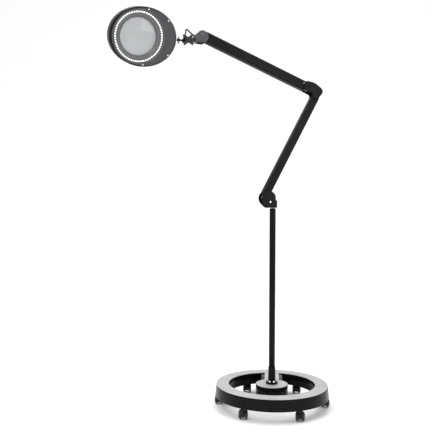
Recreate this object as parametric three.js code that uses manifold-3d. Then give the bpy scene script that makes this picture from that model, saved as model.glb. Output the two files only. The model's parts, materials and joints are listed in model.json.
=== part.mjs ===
// Floor-standing LED magnifying lamp on a ring-shaped rolling base.
// Millimetres, +Z up. The origin is the point on the floor under the pole's axis.
// The arms lie in one upright plane through the pole, turned by ARM_TURN about Z. In that plane +X runs
// from the pole towards the elbow, and the head hangs at the -X end with its lit face towards -Y.

import * as THREE from 'three';
import { mergeVertices } from 'three/addons/utils/BufferGeometryUtils.js';
import Module from 'manifold-3d';

const wasm = await Module();
wasm.setup();

// ---------------------------------------------------------------- driving dimensions

const GAP = 0.3;                    // clearance left between pieces that touch
const FINE = 32;                    // sides of the ring, hub and head
const ROUND = 16;                   // sides of small turned pieces
const RAD = Math.PI / 180;

// rolling base
const RING_TOP = 85;                // floor to the top plate's surface
const RING_BOTTOM = 42;
const RING_OUTER = 202;             // at the top; the side flares outward to the foot
const RING_FLARE = 3.5;
const RING_INNER = 156;
const PLATE = 2.7;                  // thickness of the silver top plates
const HUB_R = 58;
const HUB_TOP = 84;
const BRIDGE_WIDTH = 78;
const STRIP_WIDTH = 54;
const CASTER_COUNT = 6;
const CASTER_CIRCLE = 192.5;        // radius of the circle of caster stems
const FIRST_CASTER = -120;          // degrees
const STEM_R = 4;
const STEM_RISE = 20;               // stem inside the ring's channel
const WHEEL_R = 17;
const WHEEL_HALF = 16.5;            // half the width over both wheels
const WHEEL_GAP_HALF = 7.5;         // half the gap between the two wheels
const AXLE_R = 2.4;
const TRAIL = 12;                   // wheel axle behind the stem
const WHEEL_DOME = 7;               // how far the outer edge of a wheel is rounded back
const HOOD_GAP = 0.8;               // between wheel and hood
const HOOD_WALL = 1.4;
const SKIRT_Z = 12;                 // the hood is open below this height
const RING_WALL = 5;                // inner wall of the ring's channel
const RING_RIM = 21;                // outer wall, where the stems turn
const RING_ROOF = 8;
const HUB_WALL = 8;
const HUB_RAISED = 4;               // underside of the hub above the ring's
const POCKET_DEPTH = 24;            // hollow under the hub
const BOLT_HOLE_R = 5.4;
const PLATE_MARGIN = 0.8;           // how far a top plate stays inside the casting's edge

// pole
const POLE_R = 11.2;
const POLE_BORE = 9.4;
const POLE_TOP = 719;
const SOCKET_R = 13;
const SOCKET_TOP = 145;
const FLANGE_R = 21.6;
const FLANGE_HEIGHT = 7.5;
const CHAMFER = 2;
const SPIGOT_R = 6.4;
const SPIGOT_FOOT = 655;
const BUSH_FOOT = 690;
const BUSH_LIP = 1.6;
const FLANGE_SCREW_CIRCLE = 17.3;
const FOOT_BOLT = { head: 9, shank: 5, foot: 62, step: 69.5, top: 112 };

// arm plane
const ARM_TURN = 24;                // degrees about Z
const ARM_LENGTH = 440;             // pivot to pivot, both arms
const LOWER_ANGLE = 61.45;          // lower arm above the horizontal
const UPPER_ANGLE = 20.67;          // upper arm above the horizontal
const SHOULDER_DISC = [-22, 757];   // centre of the round shoulder cheeks
const SHOULDER_DISC_R = 27;
const SHOULDER_LUG = [10, 747.5];   // upper corner of the square lug over the pole
const CLAMP_AT = [-16.5, 743.5];    // clamp screw
const SHOULDER_FOOT = 722.5;        // underside of the shoulder fork
const SHOULDER = [-36.3, 759.9];    // lower arm's main pivot
const ELBOW_STEP = [-39.4, 21.4];   // from the lower arm's end pivot to the upper arm's first pivot
const WRIST_R = 21;                 // main lobe of the wrist cap, over the pivot
const WRIST_CENTRE = [2, -8];       // its centre, from the wrist pivot
const NOSE_R = 15.7;                // lower lobe of the wrist cap, towards the knob
const NOSE_CENTRE = [-9.5, -11.5];
const WRIST_FLOOR = -27.5;          // flat underside of the wrist cap, from the wrist pivot
const LEAD_R = 2.6;
const LEAD_HOLE = [-11, -10.2];     // where the lead's way into the wrist cap starts
const LEAD_HOLE_TURN = -65;         // degrees about Y, from upright
const LEAD_STEPS = 16;
const TONGUE_R = 7.5;               // tongue of the wrist cap between the yoke's ears
const TONGUE_HALF = 4;
const KNOB_AT = [-50, -24];         // tilt axis under the clamp knob, from the wrist pivot
const KNUCKLE_AT = [-80.7, -24];    // upright swivel axis at the head's edge, from the wrist pivot

// neck and knuckle
const EAR_IN = 4.4;                 // faces of the yoke's ears, from the arm plane
const EAR_OUT = 8.4;
const YOKE_R = 7.5;
const YOKE_BACK = -13;
const CROSSBAR = [-15.5, -11.5];
const SNOUT_R = 4.8;
const SNOUT = [-18.5, -15];
const NECK_ROD_R = 3;
const NECK_ROD_START = -12.5;
const KNOB_LOBES = 4;
const KNOB_VALLEY = 10;             // smallest radius of the star knob
const KNOB_RISE = 14.5;             // from there to a lobe's tip
const KNOB_SHARPNESS = 5;
const KNOB_TURN = 6;                // degrees
const KNOB_POINTS = 60;
const KNOB_THICK = 11;
const KNUCKLE_PIN_R = 1.9;
const ROD_EYE_R = 6;
const ROD_EYE_HALF = 4.6;
const CLEVIS_HALF = 6.4;
const CLEVIS_Z = [-13, -5, 5, 10.5];  // lower ear, slot, upper ear

// arm sections
const PIN_R = 3.2;
const PIN_HOLE = 3.65;
const STUD_R = 1.6;
const STUD_HOLE = 2.2;
const STUD_END = -2;                // studs reach from the front cheek through the strap only
const STRAP_HALF = 3.2;             // half height of the tension strap and radius of its eyes
const BAR_HALF = 6;
const COVER_WALL = 2;
const COVER_ROUND = 8;
const CHEEK = 3;
const SIDE_PLAY = 0.6;              // between an arm's cover and a joint's cheek
const THROUGH = 30;                 // cutting rods reach this far to both sides
const PIN_SIDES = 10;               // sides of thin pins, studs and stems
const BAR_Y = [3, 7];
const STRAP_Y = [-6, -3];
const SPRING = { start: 70, pitch: 9, coils: 12, fat: 4.4, thin: 3.2, y: -5 };
const LOWER = {
  name: 'lower', width: 28, height: 30, angle: LOWER_ANGLE,
  strap: [2, -8.6], cover: [10.5, ARM_LENGTH - 10.5], springRow: 5,
};
const UPPER = {
  name: 'upper', width: 30, height: 36, angle: 180 - UPPER_ANGLE,
  strap: [0, 10.5], cover: [11.2, ARM_LENGTH - 14], springRow: -7,
};

// head
const HEAD_TILT = 19;               // lit face turned down
const HEAD_YAW = 4;
const HEAD_A = 116;                 // half width of the oval casing
const HEAD_B = 97.5;                // half height
const HEAD_STANDOFF = 14.5;         // from the casing's edge to the upright swivel axis
const HEAD_SHIFT = 16;              // oval's centre from the lens centre, towards the arm
const HEAD_HALF_DEPTH = 22.5;
const HEAD_WALL = 2.5;
const LED_OUTER = 84.6;
const LED_INNER = 76.4;
const LENS_R = 64.4;
const BEZEL_R = 65;                 // bore that the lens sits in
const BEZEL_LIP = 3;                // the lip in front of the lens reaches in by this much
const REAR_OPENING_R = 70;
const LID_R = 74;
const SWITCH_R = 7;
const SWITCH_AT = [108, 0];
const FACE_THICK = 3;
const DIFFUSER = [17.2, 20, 22];    // back, shoulder and front, ahead of the lens plane
const BEZEL_BACK = -17;
const BEZEL_WALL = 2.5;
const BEZEL_FRONT = 12;             // front of the lens lip
const BOARD_Y = [-16.5, -15];
const LENS_PLANE = 2.4;
const LENS_FRONT = [[0, -7.5], [25, -6.4], [46, -3.6], [LENS_R, 0.2]];
const LENS_BACK = [[LENS_R, 3.2], [46, 7], [25, 9.8], [0, 11]];
const LID_GAP = 0.6;
const LID_THICK = 3;
const HINGE_R = 3;
const HINGE_HALF = 17;              // half length of the lid's hinge tube
const HINGE_LUG = [17.5, 24];
const HINGE_BORE = 1.7;
const HINGE_PIN_R = 1.4;
const HINGE_LEAF = 6;

// ---------------------------------------------------------------- geometry helpers

function toSolid(geometry) {
  const bare = geometry.clone();
  bare.deleteAttribute('normal');
  bare.deleteAttribute('uv');
  const merged = mergeVertices(bare, 1e-3);
  const index = merged.index.array;
  const kept = [];
  for (let i = 0; i < index.length; i += 3) {
    const [a, b, c] = [index[i], index[i + 1], index[i + 2]];
    if (a !== b && b !== c && c !== a) kept.push(a, b, c);
  }
  return new wasm.Manifold(new wasm.Mesh({
    numProp: 3,
    vertProperties: new Float32Array(merged.attributes.position.array),
    triVerts: new Uint32Array(kept),
  }));
}

function toGeometry(solid) {
  const mesh = solid.getMesh();
  const geometry = new THREE.BufferGeometry();
  geometry.setAttribute('position', new THREE.BufferAttribute(mesh.vertProperties, 3));
  geometry.setIndex(new THREE.BufferAttribute(mesh.triVerts, 1));
  geometry.computeVertexNormals();
  return geometry;
}

const join = (...solids) => solids.reduce((sum, next) => sum.add(next));
const cut = (solid, ...tools) => tools.reduce((rest, tool) => rest.subtract(tool), solid);

// Turned about Z: profile is a list of [radius, z] from bottom to top, on the outside first when it closes.
function turned(profile, sides = ROUND) {
  const points = profile.map(([r, z]) => new THREE.Vector2(r, z));
  return toSolid(new THREE.LatheGeometry(points, sides).rotateX(Math.PI / 2));
}

// Closed ring turned about Z from an outline of [radius, z] points.
const turnedRing = (outline, sides = ROUND) => turned([...outline, outline[0]], sides);

function rod(radius, z0, z1, sides = ROUND) {
  return turned([[0, z0], [radius, z0], [radius, z1], [0, z1]], sides);
}

function tube(outer, inner, z0, z1, sides = ROUND) {
  return turnedRing([[inner, z0], [outer, z0], [outer, z1], [inner, z1]], sides);
}

function box(x0, x1, y0, y1, z0, z1) {
  const shape = new THREE.BoxGeometry(x1 - x0, y1 - y0, z1 - z0);
  return toSolid(shape.translate((x0 + x1) / 2, (y0 + y1) / 2, (z0 + z1) / 2));
}

function extruded(shape, depth, curveSegments) {
  return new THREE.ExtrudeGeometry(shape, { depth, bevelEnabled: false, curveSegments });
}

// A plate drawn in X and Z, from y0 to y1.
function plateY(shape, y0, y1, curveSegments = 6) {
  return toSolid(extruded(shape, y1 - y0, curveSegments).rotateX(Math.PI / 2).translate(0, y1, 0));
}

// A bar drawn in Y and Z, from x0 to x1.
function barX(shape, x0, x1, curveSegments = 4) {
  const bar = extruded(shape, x1 - x0, curveSegments);
  return toSolid(bar.rotateX(Math.PI / 2).rotateZ(Math.PI / 2).translate(x0, 0, 0));
}

const polygon = (points) => new THREE.Shape(points.map(([x, z]) => new THREE.Vector2(x, z)));

function arcPoints([cx, cz], radius, from, to, steps) {
  return Array.from({ length: steps + 1 }, (_, i) => {
    const angle = (from + ((to - from) * i) / steps) * RAD;
    return [cx + radius * Math.cos(angle), cz + radius * Math.sin(angle)];
  });
}

// Pin or hole along Y through (x, z).
function crossRod([x, z], radius, y0, y1, sides = ROUND) {
  return rod(radius, -y1, -y0, sides).rotate([90, 0, 0]).translate([x, 0, z]);
}

const plus = ([x, z], [dx, dz]) => [x + dx, z + dz];

const step = ([x, z], length, angle) => [
  x + length * Math.cos(angle * RAD), z + length * Math.sin(angle * RAD),
];

// Where an arm's strap starts, from the arm's first pivot.
function studStep({ angle, strap: [x, z] }) {
  const [c, s] = [Math.cos(angle * RAD), Math.sin(angle * RAD)];
  return [c * x - s * z, s * x + c * z];
}

const lowerStudStep = studStep(LOWER);
const upperStudStep = studStep(UPPER);

function roundedHalf(width, height, wall, corner) {
  const [w, h, inner] = [width / 2, height / 2, corner - wall];
  const seam = GAP / 2;
  const outline = new THREE.Shape();
  outline.moveTo(seam, -h);
  outline.lineTo(w - corner, -h);
  outline.absarc(w - corner, -h + corner, corner, -Math.PI / 2, 0, false);
  outline.lineTo(w, h - corner);
  outline.absarc(w - corner, h - corner, corner, 0, Math.PI / 2, false);
  outline.lineTo(seam, h);
  outline.lineTo(seam, h - wall);
  outline.lineTo(w - corner, h - wall);
  outline.absarc(w - corner, h - corner, inner, Math.PI / 2, 0, true);
  outline.lineTo(w - wall, -h + corner);
  outline.absarc(w - corner, -h + corner, inner, 0, -Math.PI / 2, true);
  outline.lineTo(seam, -h + wall);
  return outline;
}

// ---------------------------------------------------------------- finishes

const FINISHES = {
  blackPaint: { color: 0x101011, roughness: 0.3, metalness: 0.1 },
  blackPlastic: { color: 0x18181a, roughness: 0.45, metalness: 0 },
  capPlastic: { color: 0x4c4c4e, roughness: 0.5, metalness: 0 },
  faceplate: { color: 0x4a4a4c, roughness: 0.55, metalness: 0 },
  silverPlate: { color: 0xacacac, roughness: 0.6, metalness: 0.2 },
  steel: { color: 0x9a9a9c, roughness: 0.35, metalness: 0.9 },
  chrome: { color: 0xe0e0e2, roughness: 0.12, metalness: 1 },
  tread: { color: 0x0e0e0f, roughness: 0.7, metalness: 0 },
  board: { color: 0xe9e9e4, roughness: 0.6, metalness: 0 },
  diffuser: { color: 0xf6f8ff, roughness: 0.4, metalness: 0 },
  glass: { color: 0xb9c2c2, roughness: 0.05, metalness: 0 },
  lead: { color: 0x0b0b0c, roughness: 0.55, metalness: 0 },
};

function add(group, name, solid, finish) {
  const mesh = new THREE.Mesh(toGeometry(solid), new THREE.MeshStandardMaterial(FINISHES[finish]));
  mesh.name = name;
  group.add(mesh);
  return mesh;
}

function groupAt(parent, name, x, y, z) {
  const group = new THREE.Group();
  group.name = name;
  group.position.set(x, y, z);
  parent.add(group);
  return group;
}

// ---------------------------------------------------------------- rolling base

const casterAngles = Array.from({ length: CASTER_COUNT }, (_, i) => FIRST_CASTER + (i * 360) / CASTER_COUNT);

function stemPlace(angle) {
  return [CASTER_CIRCLE * Math.cos(angle * RAD), CASTER_CIRCLE * Math.sin(angle * RAD)];
}

function addBase(lamp) {
  const castTop = RING_TOP - PLATE - GAP;
  const channelInner = RING_INNER + RING_WALL;
  const channelOuter = RING_OUTER - RING_RIM;
  const channelTop = castTop - RING_ROOF;
  const stemHoles = casterAngles.map((angle) => {
    const [x, y] = stemPlace(angle);
    return rod(STEM_R + GAP, RING_BOTTOM - 1, RING_BOTTOM + STEM_RISE + 2, PIN_SIDES).translate([x, y, 0]);
  });
  const ring = turnedRing([
    [RING_INNER, RING_BOTTOM], [channelInner, RING_BOTTOM], [channelInner, channelTop],
    [channelOuter, channelTop], [channelOuter, RING_BOTTOM], [RING_OUTER + RING_FLARE, RING_BOTTOM],
    [RING_OUTER, castTop], [RING_INNER, castTop],
  ], FINE);
  add(lamp, 'ring_casting', cut(ring, ...stemHoles), 'blackPaint');
  const ringPlate = tube(RING_OUTER - PLATE_MARGIN, RING_INNER, castTop + GAP, RING_TOP, FINE);
  add(lamp, 'ring_top_plate', ringPlate, 'silverPlate');

  const bridgeBottom = RING_BOTTOM + HUB_RAISED;
  const hubCastTop = HUB_TOP - PLATE - GAP;
  const pocketTop = bridgeBottom + POCKET_DEPTH;
  const drum = turnedRing([
    [BOLT_HOLE_R, pocketTop], [HUB_R - HUB_WALL, pocketTop], [HUB_R - HUB_WALL, bridgeBottom],
    [HUB_R, bridgeBottom], [HUB_R, hubCastTop], [BOLT_HOLE_R, hubCastTop],
  ], FINE);
  const beam = box(-BRIDGE_WIDTH / 2, BRIDGE_WIDTH / 2, HUB_R - 14, RING_INNER, bridgeBottom, hubCastTop);
  const insideRing = rod(RING_INNER - 1, 0, 2 * RING_TOP, FINE);
  const drumPocket = rod(HUB_R - HUB_WALL, bridgeBottom - 1, pocketTop, FINE);
  add(lamp, 'hub_and_bridge', join(drum, cut(beam.intersect(insideRing), drumPocket)), 'blackPaint');
  add(lamp, 'hub_top_plate', tube(HUB_R - 0.5, BOLT_HOLE_R, hubCastTop + GAP, HUB_TOP, FINE), 'silverPlate');

  const strip = box(-STRIP_WIDTH / 2, STRIP_WIDTH / 2, HUB_R - 4, RING_INNER + 1, hubCastTop + GAP, HUB_TOP);
  const hubZone = rod(HUB_R + GAP, 0, 2 * RING_TOP, FINE);
  add(lamp, 'bridge_strip', cut(strip.intersect(insideRing), hubZone), 'silverPlate');
}

function addCaster(lamp, number, angle) {
  const [x, y] = stemPlace(angle);
  const swivel = groupAt(lamp, `caster_${number}_swivel`, x, y, 0);
  const axle = [0, WHEEL_R];
  // wheels and hood are turned about the axle: radius and distance along it, from the middle outwards
  const [w, g, r] = [WHEEL_HALF - HOOD_WALL / 2, WHEEL_GAP_HALF, WHEEL_R];
  const dome = [[r, w - WHEEL_DOME], [r - 1.2, w - 4], [r - 4, w - 1.4], [r - 8, w]];
  const hoodInner = dome.map(([radius, at]) => [radius + HOOD_GAP, at]);
  const hoodOuter = dome.map(([radius, at]) => [radius + HOOD_GAP + HOOD_WALL, at + HOOD_WALL / 2]);
  const mirrored = (points) => points.map(([radius, at]) => [radius, -at]).reverse();
  const alongAxle = (solid) => solid.rotate([0, 90, 0]);
  const shell = alongAxle(turnedRing([
    ...mirrored(hoodOuter), ...hoodOuter, ...[...hoodInner].reverse(), ...mirrored([...hoodInner].reverse()),
  ])).translate([0, TRAIL, WHEEL_R]);
  const upperHalf = box(-2 * r, 2 * r, -2 * r, 3 * r, SKIRT_Z, 3 * r);
  const web = polygon([...arcPoints(axle, r + HOOD_GAP + 0.6, 0, 180, 8), [-9, 8], [9, 8]]);
  const webHalf = WHEEL_GAP_HALF - 0.6;
  // the side view is drawn in X and Z, then turned so that the wheels' axle lies along X
  const alongX = (shape, half) => plateY(shape, -half, half).rotate([0, 0, 90]).translate([0, TRAIL, 0]);
  const axleRod = crossRod(axle, AXLE_R + 0.5, -THROUGH, THROUGH, PIN_SIDES);
  const axleHole = axleRod.rotate([0, 0, 90]).translate([0, TRAIL, 0]);
  const crown = WHEEL_R + r + HOOD_GAP;
  const stem = turned([
    [0, crown - 2], [7, crown - 2], [7, crown + 4], [STEM_R, crown + 5],
    [STEM_R, RING_BOTTOM + STEM_RISE], [0, RING_BOTTOM + STEM_RISE],
  ], PIN_SIDES);
  const hood = join(shell.intersect(upperHalf), alongX(web, webHalf), stem);
  add(swivel, `caster_${number}_hood`, cut(hood, axleHole), 'blackPlastic');

  const spin = groupAt(swivel, `caster_${number}_spin`, 0, TRAIL, WHEEL_R);
  const tread = [[AXLE_R, g], [r - 1, g], [r, g + 1], ...dome, [0, w]];
  const wheels = alongAxle(turned([...mirrored(tread), ...tread]));
  add(spin, `caster_${number}_wheels`, wheels, 'tread');
}

// ---------------------------------------------------------------- pole

function addPole(lamp) {
  const foot = HUB_TOP + GAP;
  add(lamp, 'pole_socket', turnedRing([
    [POLE_R + GAP, foot], [FLANGE_R, foot], [FLANGE_R, foot + FLANGE_HEIGHT - CHAMFER],
    [FLANGE_R - CHAMFER, foot + FLANGE_HEIGHT], [SOCKET_R, foot + FLANGE_HEIGHT],
    [SOCKET_R, SOCKET_TOP - CHAMFER], [SOCKET_R - 1, SOCKET_TOP], [POLE_R + GAP, SOCKET_TOP],
  ], 24), 'blackPaint');
  add(lamp, 'pole_tube', tube(POLE_R, POLE_BORE, foot + GAP, POLE_TOP, 24), 'blackPaint');
  const bolt = FOOT_BOLT;
  add(lamp, 'pole_foot_bolt', turned([
    [0, bolt.foot], [bolt.head, bolt.foot], [bolt.head, bolt.step], [bolt.shank, bolt.step],
    [bolt.shank, bolt.top], [0, bolt.top],
  ], 6), 'steel');
  add(lamp, 'pole_top_bush', turnedRing([
    [SPIGOT_R + GAP, BUSH_FOOT], [POLE_BORE - GAP, BUSH_FOOT], [POLE_BORE - GAP, POLE_TOP + GAP],
    [POLE_R, POLE_TOP + GAP], [POLE_R, POLE_TOP + BUSH_LIP], [SPIGOT_R + GAP, POLE_TOP + BUSH_LIP],
  ], 24), 'blackPlastic');
  for (const [side, angle] of [['left', -115], ['right', -65]]) {
    const head = turned([[0, 0], [3.9, 0], [3.9, 1.4], [3, 3.6], [1.6, 4.6], [0, 4.9]], 12);
    const [[x, y]] = arcPoints([0, 0], FLANGE_SCREW_CIRCLE, angle, angle, 1);
    const screw = head.translate([x, y, foot + FLANGE_HEIGHT + GAP]);
    add(lamp, `socket_screw_${side}`, screw, 'chrome');
  }
}

// ---------------------------------------------------------------- shoulder

function addShoulder(swivel) {
  add(swivel, 'swivel_spigot', rod(SPIGOT_R, SPIGOT_FOOT, SHOULDER_FOOT - GAP), 'steel');

  const [right, lugTop] = SHOULDER_LUG;
  const outline = polygon([
    ...arcPoints(SHOULDER_DISC, SHOULDER_DISC_R, -14, 232, 18),
    [-27, SHOULDER_FOOT + 3], [-21, SHOULDER_FOOT], [right - 3, SHOULDER_FOOT], [right, SHOULDER_FOOT + 3],
    [right, lugTop], [right - 3, lugTop + 3],
  ]);
  const inner = LOWER.width / 2 + SIDE_PLAY;
  const outer = inner + CHEEK + 0.5;
  const stud = plus(SHOULDER, lowerStudStep);
  const block = box(-8, right - 1, -inner - 1, inner + 1, SHOULDER_FOOT, 738);
  const cheeks = join(plateY(outline, -outer, -inner), plateY(outline, inner, outer), block);
  const fork = join(cheeks, crossRod(stud, STUD_R, -inner - 1, STUD_END, PIN_SIDES));
  const holes = [
    crossRod(SHOULDER, PIN_HOLE, -THROUGH, THROUGH), crossRod(CLAMP_AT, 2.8, -THROUGH, THROUGH, PIN_SIDES),
  ];
  add(swivel, 'shoulder_fork', cut(fork, ...holes), 'blackPlastic');
  add(swivel, 'shoulder_pivot_pin', crossRod(SHOULDER, PIN_R, -outer, outer), 'steel');
  const screw = turned([
    [0, -outer - 2], [3.8, -outer - 2], [3.8, -outer - GAP], [2.4, -outer - GAP], [2.4, outer + GAP],
    [3.4, outer + GAP], [3.4, outer + 2], [0, outer + 2],
  ], 12).rotate([-90, 0, 0]).translate([CLAMP_AT[0], 0, CLAMP_AT[1]]);
  add(swivel, 'shoulder_clamp_screw', screw, 'chrome');
}

// ---------------------------------------------------------------- arms

function linkBar(from, to, half, hole, y0, y1) {
  const direction = Math.atan2(to[1] - from[1], to[0] - from[0]) / RAD;
  const outline = polygon([
    ...arcPoints(from, half, direction + 90, direction + 270, 6),
    ...arcPoints(to, half, direction - 90, direction + 90, 6),
  ]);
  const holes = [from, to].map((place) => crossRod(place, hole, y0 - 1, y1 + 1, 12));
  return cut(plateY(outline, y0, y1), ...holes);
}

// Both arms are drawn along +X from their first pivot; the group turns them into place.
function addArm(arm, strap, spec) {
  const { name, width, height } = spec;
  const half = roundedHalf(width, height, COVER_WALL, COVER_ROUND);
  const cover = barX(half, ...spec.cover);
  add(arm, `${name}_arm_cover_rear`, cover, 'blackPlastic');
  add(arm, `${name}_arm_cover_front`, cover.mirror([0, 1, 0]), 'blackPlastic');
  const ends = [[0, 0], [ARM_LENGTH, 0]];
  add(arm, `${name}_arm_bar`, linkBar(...ends, BAR_HALF, PIN_HOLE, ...BAR_Y), 'steel');

  const { start, pitch, coils, fat, thin } = SPRING;
  const ribs = [[0, start]];
  for (let i = 0; i < coils; i += 1) {
    ribs.push([fat, start + i * pitch], [thin, start + (i + 0.5) * pitch]);
  }
  ribs.push([fat, start + coils * pitch], [0, start + coils * pitch]);
  const spring = turned(ribs, 8).rotate([0, 90, 0]).translate([0, SPRING.y, spec.springRow]);
  add(arm, `${name}_arm_spring`, spring, 'steel');
  add(strap, `${name}_tension_strap`, linkBar(...ends, STRAP_HALF, STUD_HOLE, ...STRAP_Y), 'steel');
}

// ---------------------------------------------------------------- elbow

function addElbow(elbow) {
  const inner = UPPER.width / 2 + SIDE_PLAY;
  const outer = inner + CHEEK;
  const back = [[-21, 40.5], [-8, 34.5], [12, 21], [18.5, 11], [18, 6]];
  const outline = polygon([
    [-45, 44], ...back, [15.5, 0.5], [6, -11], [1, -18], [-9, -19.5], [-20, -17],
    [-21, -2.5], [-57, 12.5], [-58.5, 17], [-53, 38.5],
  ]);
  const wall = polygon([
    ...back, [15, 6.4], [15.6, 10.2], [9.9, 18.9], [-9.4, 31.9], [-21.5, 37.7],
  ]);
  const second = ELBOW_STEP;
  const studs = [
    crossRod(lowerStudStep, STUD_R, -inner - 1, STUD_END, PIN_SIDES),
    crossRod(plus(second, upperStudStep), STUD_R, -inner - 1, STUD_END, PIN_SIDES),
  ];
  const body = join(
    plateY(outline, -outer, -inner), plateY(outline, inner, outer),
    plateY(wall, -inner - 1, inner + 1), ...studs,
  );
  const holes = [[0, 0], second].map((place) => crossRod(place, PIN_HOLE, -THROUGH, THROUGH));
  add(elbow, 'elbow_housing', cut(body, ...holes), 'blackPlastic');
  add(elbow, 'elbow_lower_pin', crossRod([0, 0], PIN_R, -outer, outer), 'steel');
  add(elbow, 'elbow_upper_pin', crossRod(second, PIN_R, -outer, outer), 'steel');
}

// ---------------------------------------------------------------- wrist

function addWrist(wrist) {
  const inner = UPPER.width / 2 + SIDE_PLAY;
  const outer = inner + CHEEK;
  const lobe = (centre, radius) => {
    const floorAngle = Math.asin((centre[1] - WRIST_FLOOR) / Math.max(radius, centre[1] - WRIST_FLOOR)) / RAD;
    return polygon(arcPoints(centre, radius, -floorAngle, 180 + floorAngle, 16));
  };
  const cheek = (y0, y1) => join(
    plateY(lobe(WRIST_CENTRE, WRIST_R), y0, y1), plateY(lobe(NOSE_CENTRE, NOSE_R), y0, y1),
  );
  const wall = polygon([
    ...arcPoints(NOSE_CENTRE, NOSE_R, 100, 250, 8), ...arcPoints(NOSE_CENTRE, NOSE_R - CHEEK, 250, 100, 8),
  ]);
  const tongue = polygon([
    ...arcPoints(KNOB_AT, TONGUE_R, 90, 270, 8), [-17, -24.5], [-23.5, -10],
  ]);
  const cap = join(
    cheek(-outer, -inner), cheek(inner, outer), plateY(wall, -inner - 1, inner + 1),
    plateY(tongue, -TONGUE_HALF, TONGUE_HALF), crossRod(upperStudStep, STUD_R, -inner - 1, STUD_END, PIN_SIDES),
  );
  const leadWay = rod(LEAD_R + 0.7, 0, 20, PIN_SIDES).rotate([0, LEAD_HOLE_TURN, 0]);
  const leadHole = leadWay.translate([LEAD_HOLE[0], 0, LEAD_HOLE[1]]);
  const holes = [[0, 0], KNOB_AT].map((place) => crossRod(place, PIN_HOLE, -THROUGH, THROUGH));
  add(wrist, 'wrist_cap', cut(cap, ...holes, leadHole), 'capPlastic');
  add(wrist, 'wrist_pin', crossRod([0, 0], PIN_R, -outer, outer), 'steel');

  // short loop of round lead from the wrist cap over to the neck
  const route = new THREE.CatmullRomCurve3([
    [-17, -7.3], [-24, -4.1], [-33, 1.5], [-42, 8.5], [-50, 14.8], [-54, 13.5], [-55, 7], [-56, -1],
    [-58.5, -9], [-62.5, -15.9],
  ].map(([x, z]) => new THREE.Vector3(x, 0, z)));
  const section = new THREE.Shape();
  section.absarc(0, 0, LEAD_R, 0, 2 * Math.PI, false);
  const lead = new THREE.ExtrudeGeometry(section, {
    steps: LEAD_STEPS, curveSegments: 4, bevelEnabled: false, extrudePath: route,
  });
  add(wrist, 'wrist_lead', toSolid(lead), 'lead');
}

function addNeck(neck) {
  const eye = polygon([...arcPoints([0, 0], YOKE_R, -90, 90, 8), [YOKE_BACK, YOKE_R], [YOKE_BACK, -YOKE_R]]);
  const crossbar = box(...CROSSBAR, -EAR_OUT, EAR_OUT, -YOKE_R, YOKE_R);
  const alongX = (radius, x0, x1, sides) => rod(radius, x0, x1, sides).rotate([0, 90, 0]);
  const ears = join(plateY(eye, -EAR_OUT, -EAR_IN), plateY(eye, EAR_IN, EAR_OUT));
  const bodySolid = join(ears, crossbar, alongX(SNOUT_R, ...SNOUT, 14));
  const rodWay = alongX(NECK_ROD_R + GAP + 0.1, -THROUGH, CROSSBAR[1] + 0.5, 12);
  const yoke = cut(bodySolid, crossRod([0, 0], PIN_HOLE, -THROUGH, THROUGH), rodWay);
  add(neck, 'neck_yoke', yoke, 'blackPaint');
  add(neck, 'knob_stud', turned([
    [0, -17.5], [PIN_R, -17.5], [PIN_R, EAR_OUT + GAP], [6.5, EAR_OUT + GAP], [6.5, EAR_OUT + 3],
    [0, EAR_OUT + 4],
  ], 12).rotate([-90, 0, 0]), 'chrome');
}

function addKnob(knob) {
  const points = Array.from({ length: KNOB_POINTS }, (_, i) => {
    const angle = (i / KNOB_POINTS) * 2 * Math.PI;
    const lobe = Math.abs(Math.sin((KNOB_LOBES / 2) * (angle - KNOB_TURN * RAD))) ** KNOB_SHARPNESS;
    const radius = KNOB_VALLEY + KNOB_RISE * lobe;
    return [radius * Math.cos(angle), radius * Math.sin(angle)];
  });
  const back = -EAR_OUT - 1.4;
  const face = back - KNOB_THICK;
  const body = plateY(polygon(points), face, back);
  const bore = crossRod([0, 0], PIN_R + GAP + 0.1, face + 2.5, 0, 12);
  add(knob, 'clamp_knob', cut(body, bore), 'blackPlastic');
}

function addNeckRod(roll) {
  const reach = KNUCKLE_AT[0] - KNOB_AT[0];
  const shaft = rod(NECK_ROD_R, reach, NECK_ROD_START, 12).rotate([0, 90, 0]);
  const eye = rod(ROD_EYE_R, -ROD_EYE_HALF, ROD_EYE_HALF, 14).translate([reach, 0, 0]);
  const hole = rod(KNUCKLE_PIN_R + 0.4, -10, 10, PIN_SIDES).translate([reach, 0, 0]);
  add(roll, 'neck_rod', cut(join(shaft, eye), hole), 'steel');
}

// ---------------------------------------------------------------- head

// Drawn about the lens centre: the lit face looks towards -Y, the arm is at +X.
function faceRing(outline, sides = FINE) {
  return turnedRing(outline, sides).rotate([90, 0, 0]);
}

function oval(scaleDown, y0, y1) {
  const [a, b] = [HEAD_A - scaleDown, HEAD_B - scaleDown];
  const disc = rod(1, -y1, -y0, FINE).rotate([90, 0, 0]);
  return disc.scale([a, 1, b]).translate([HEAD_SHIFT, 0, 0]);
}

const faceDisc = (radius, y0, y1, sides = FINE) => rod(radius, -y1, -y0, sides).rotate([90, 0, 0]);

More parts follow.
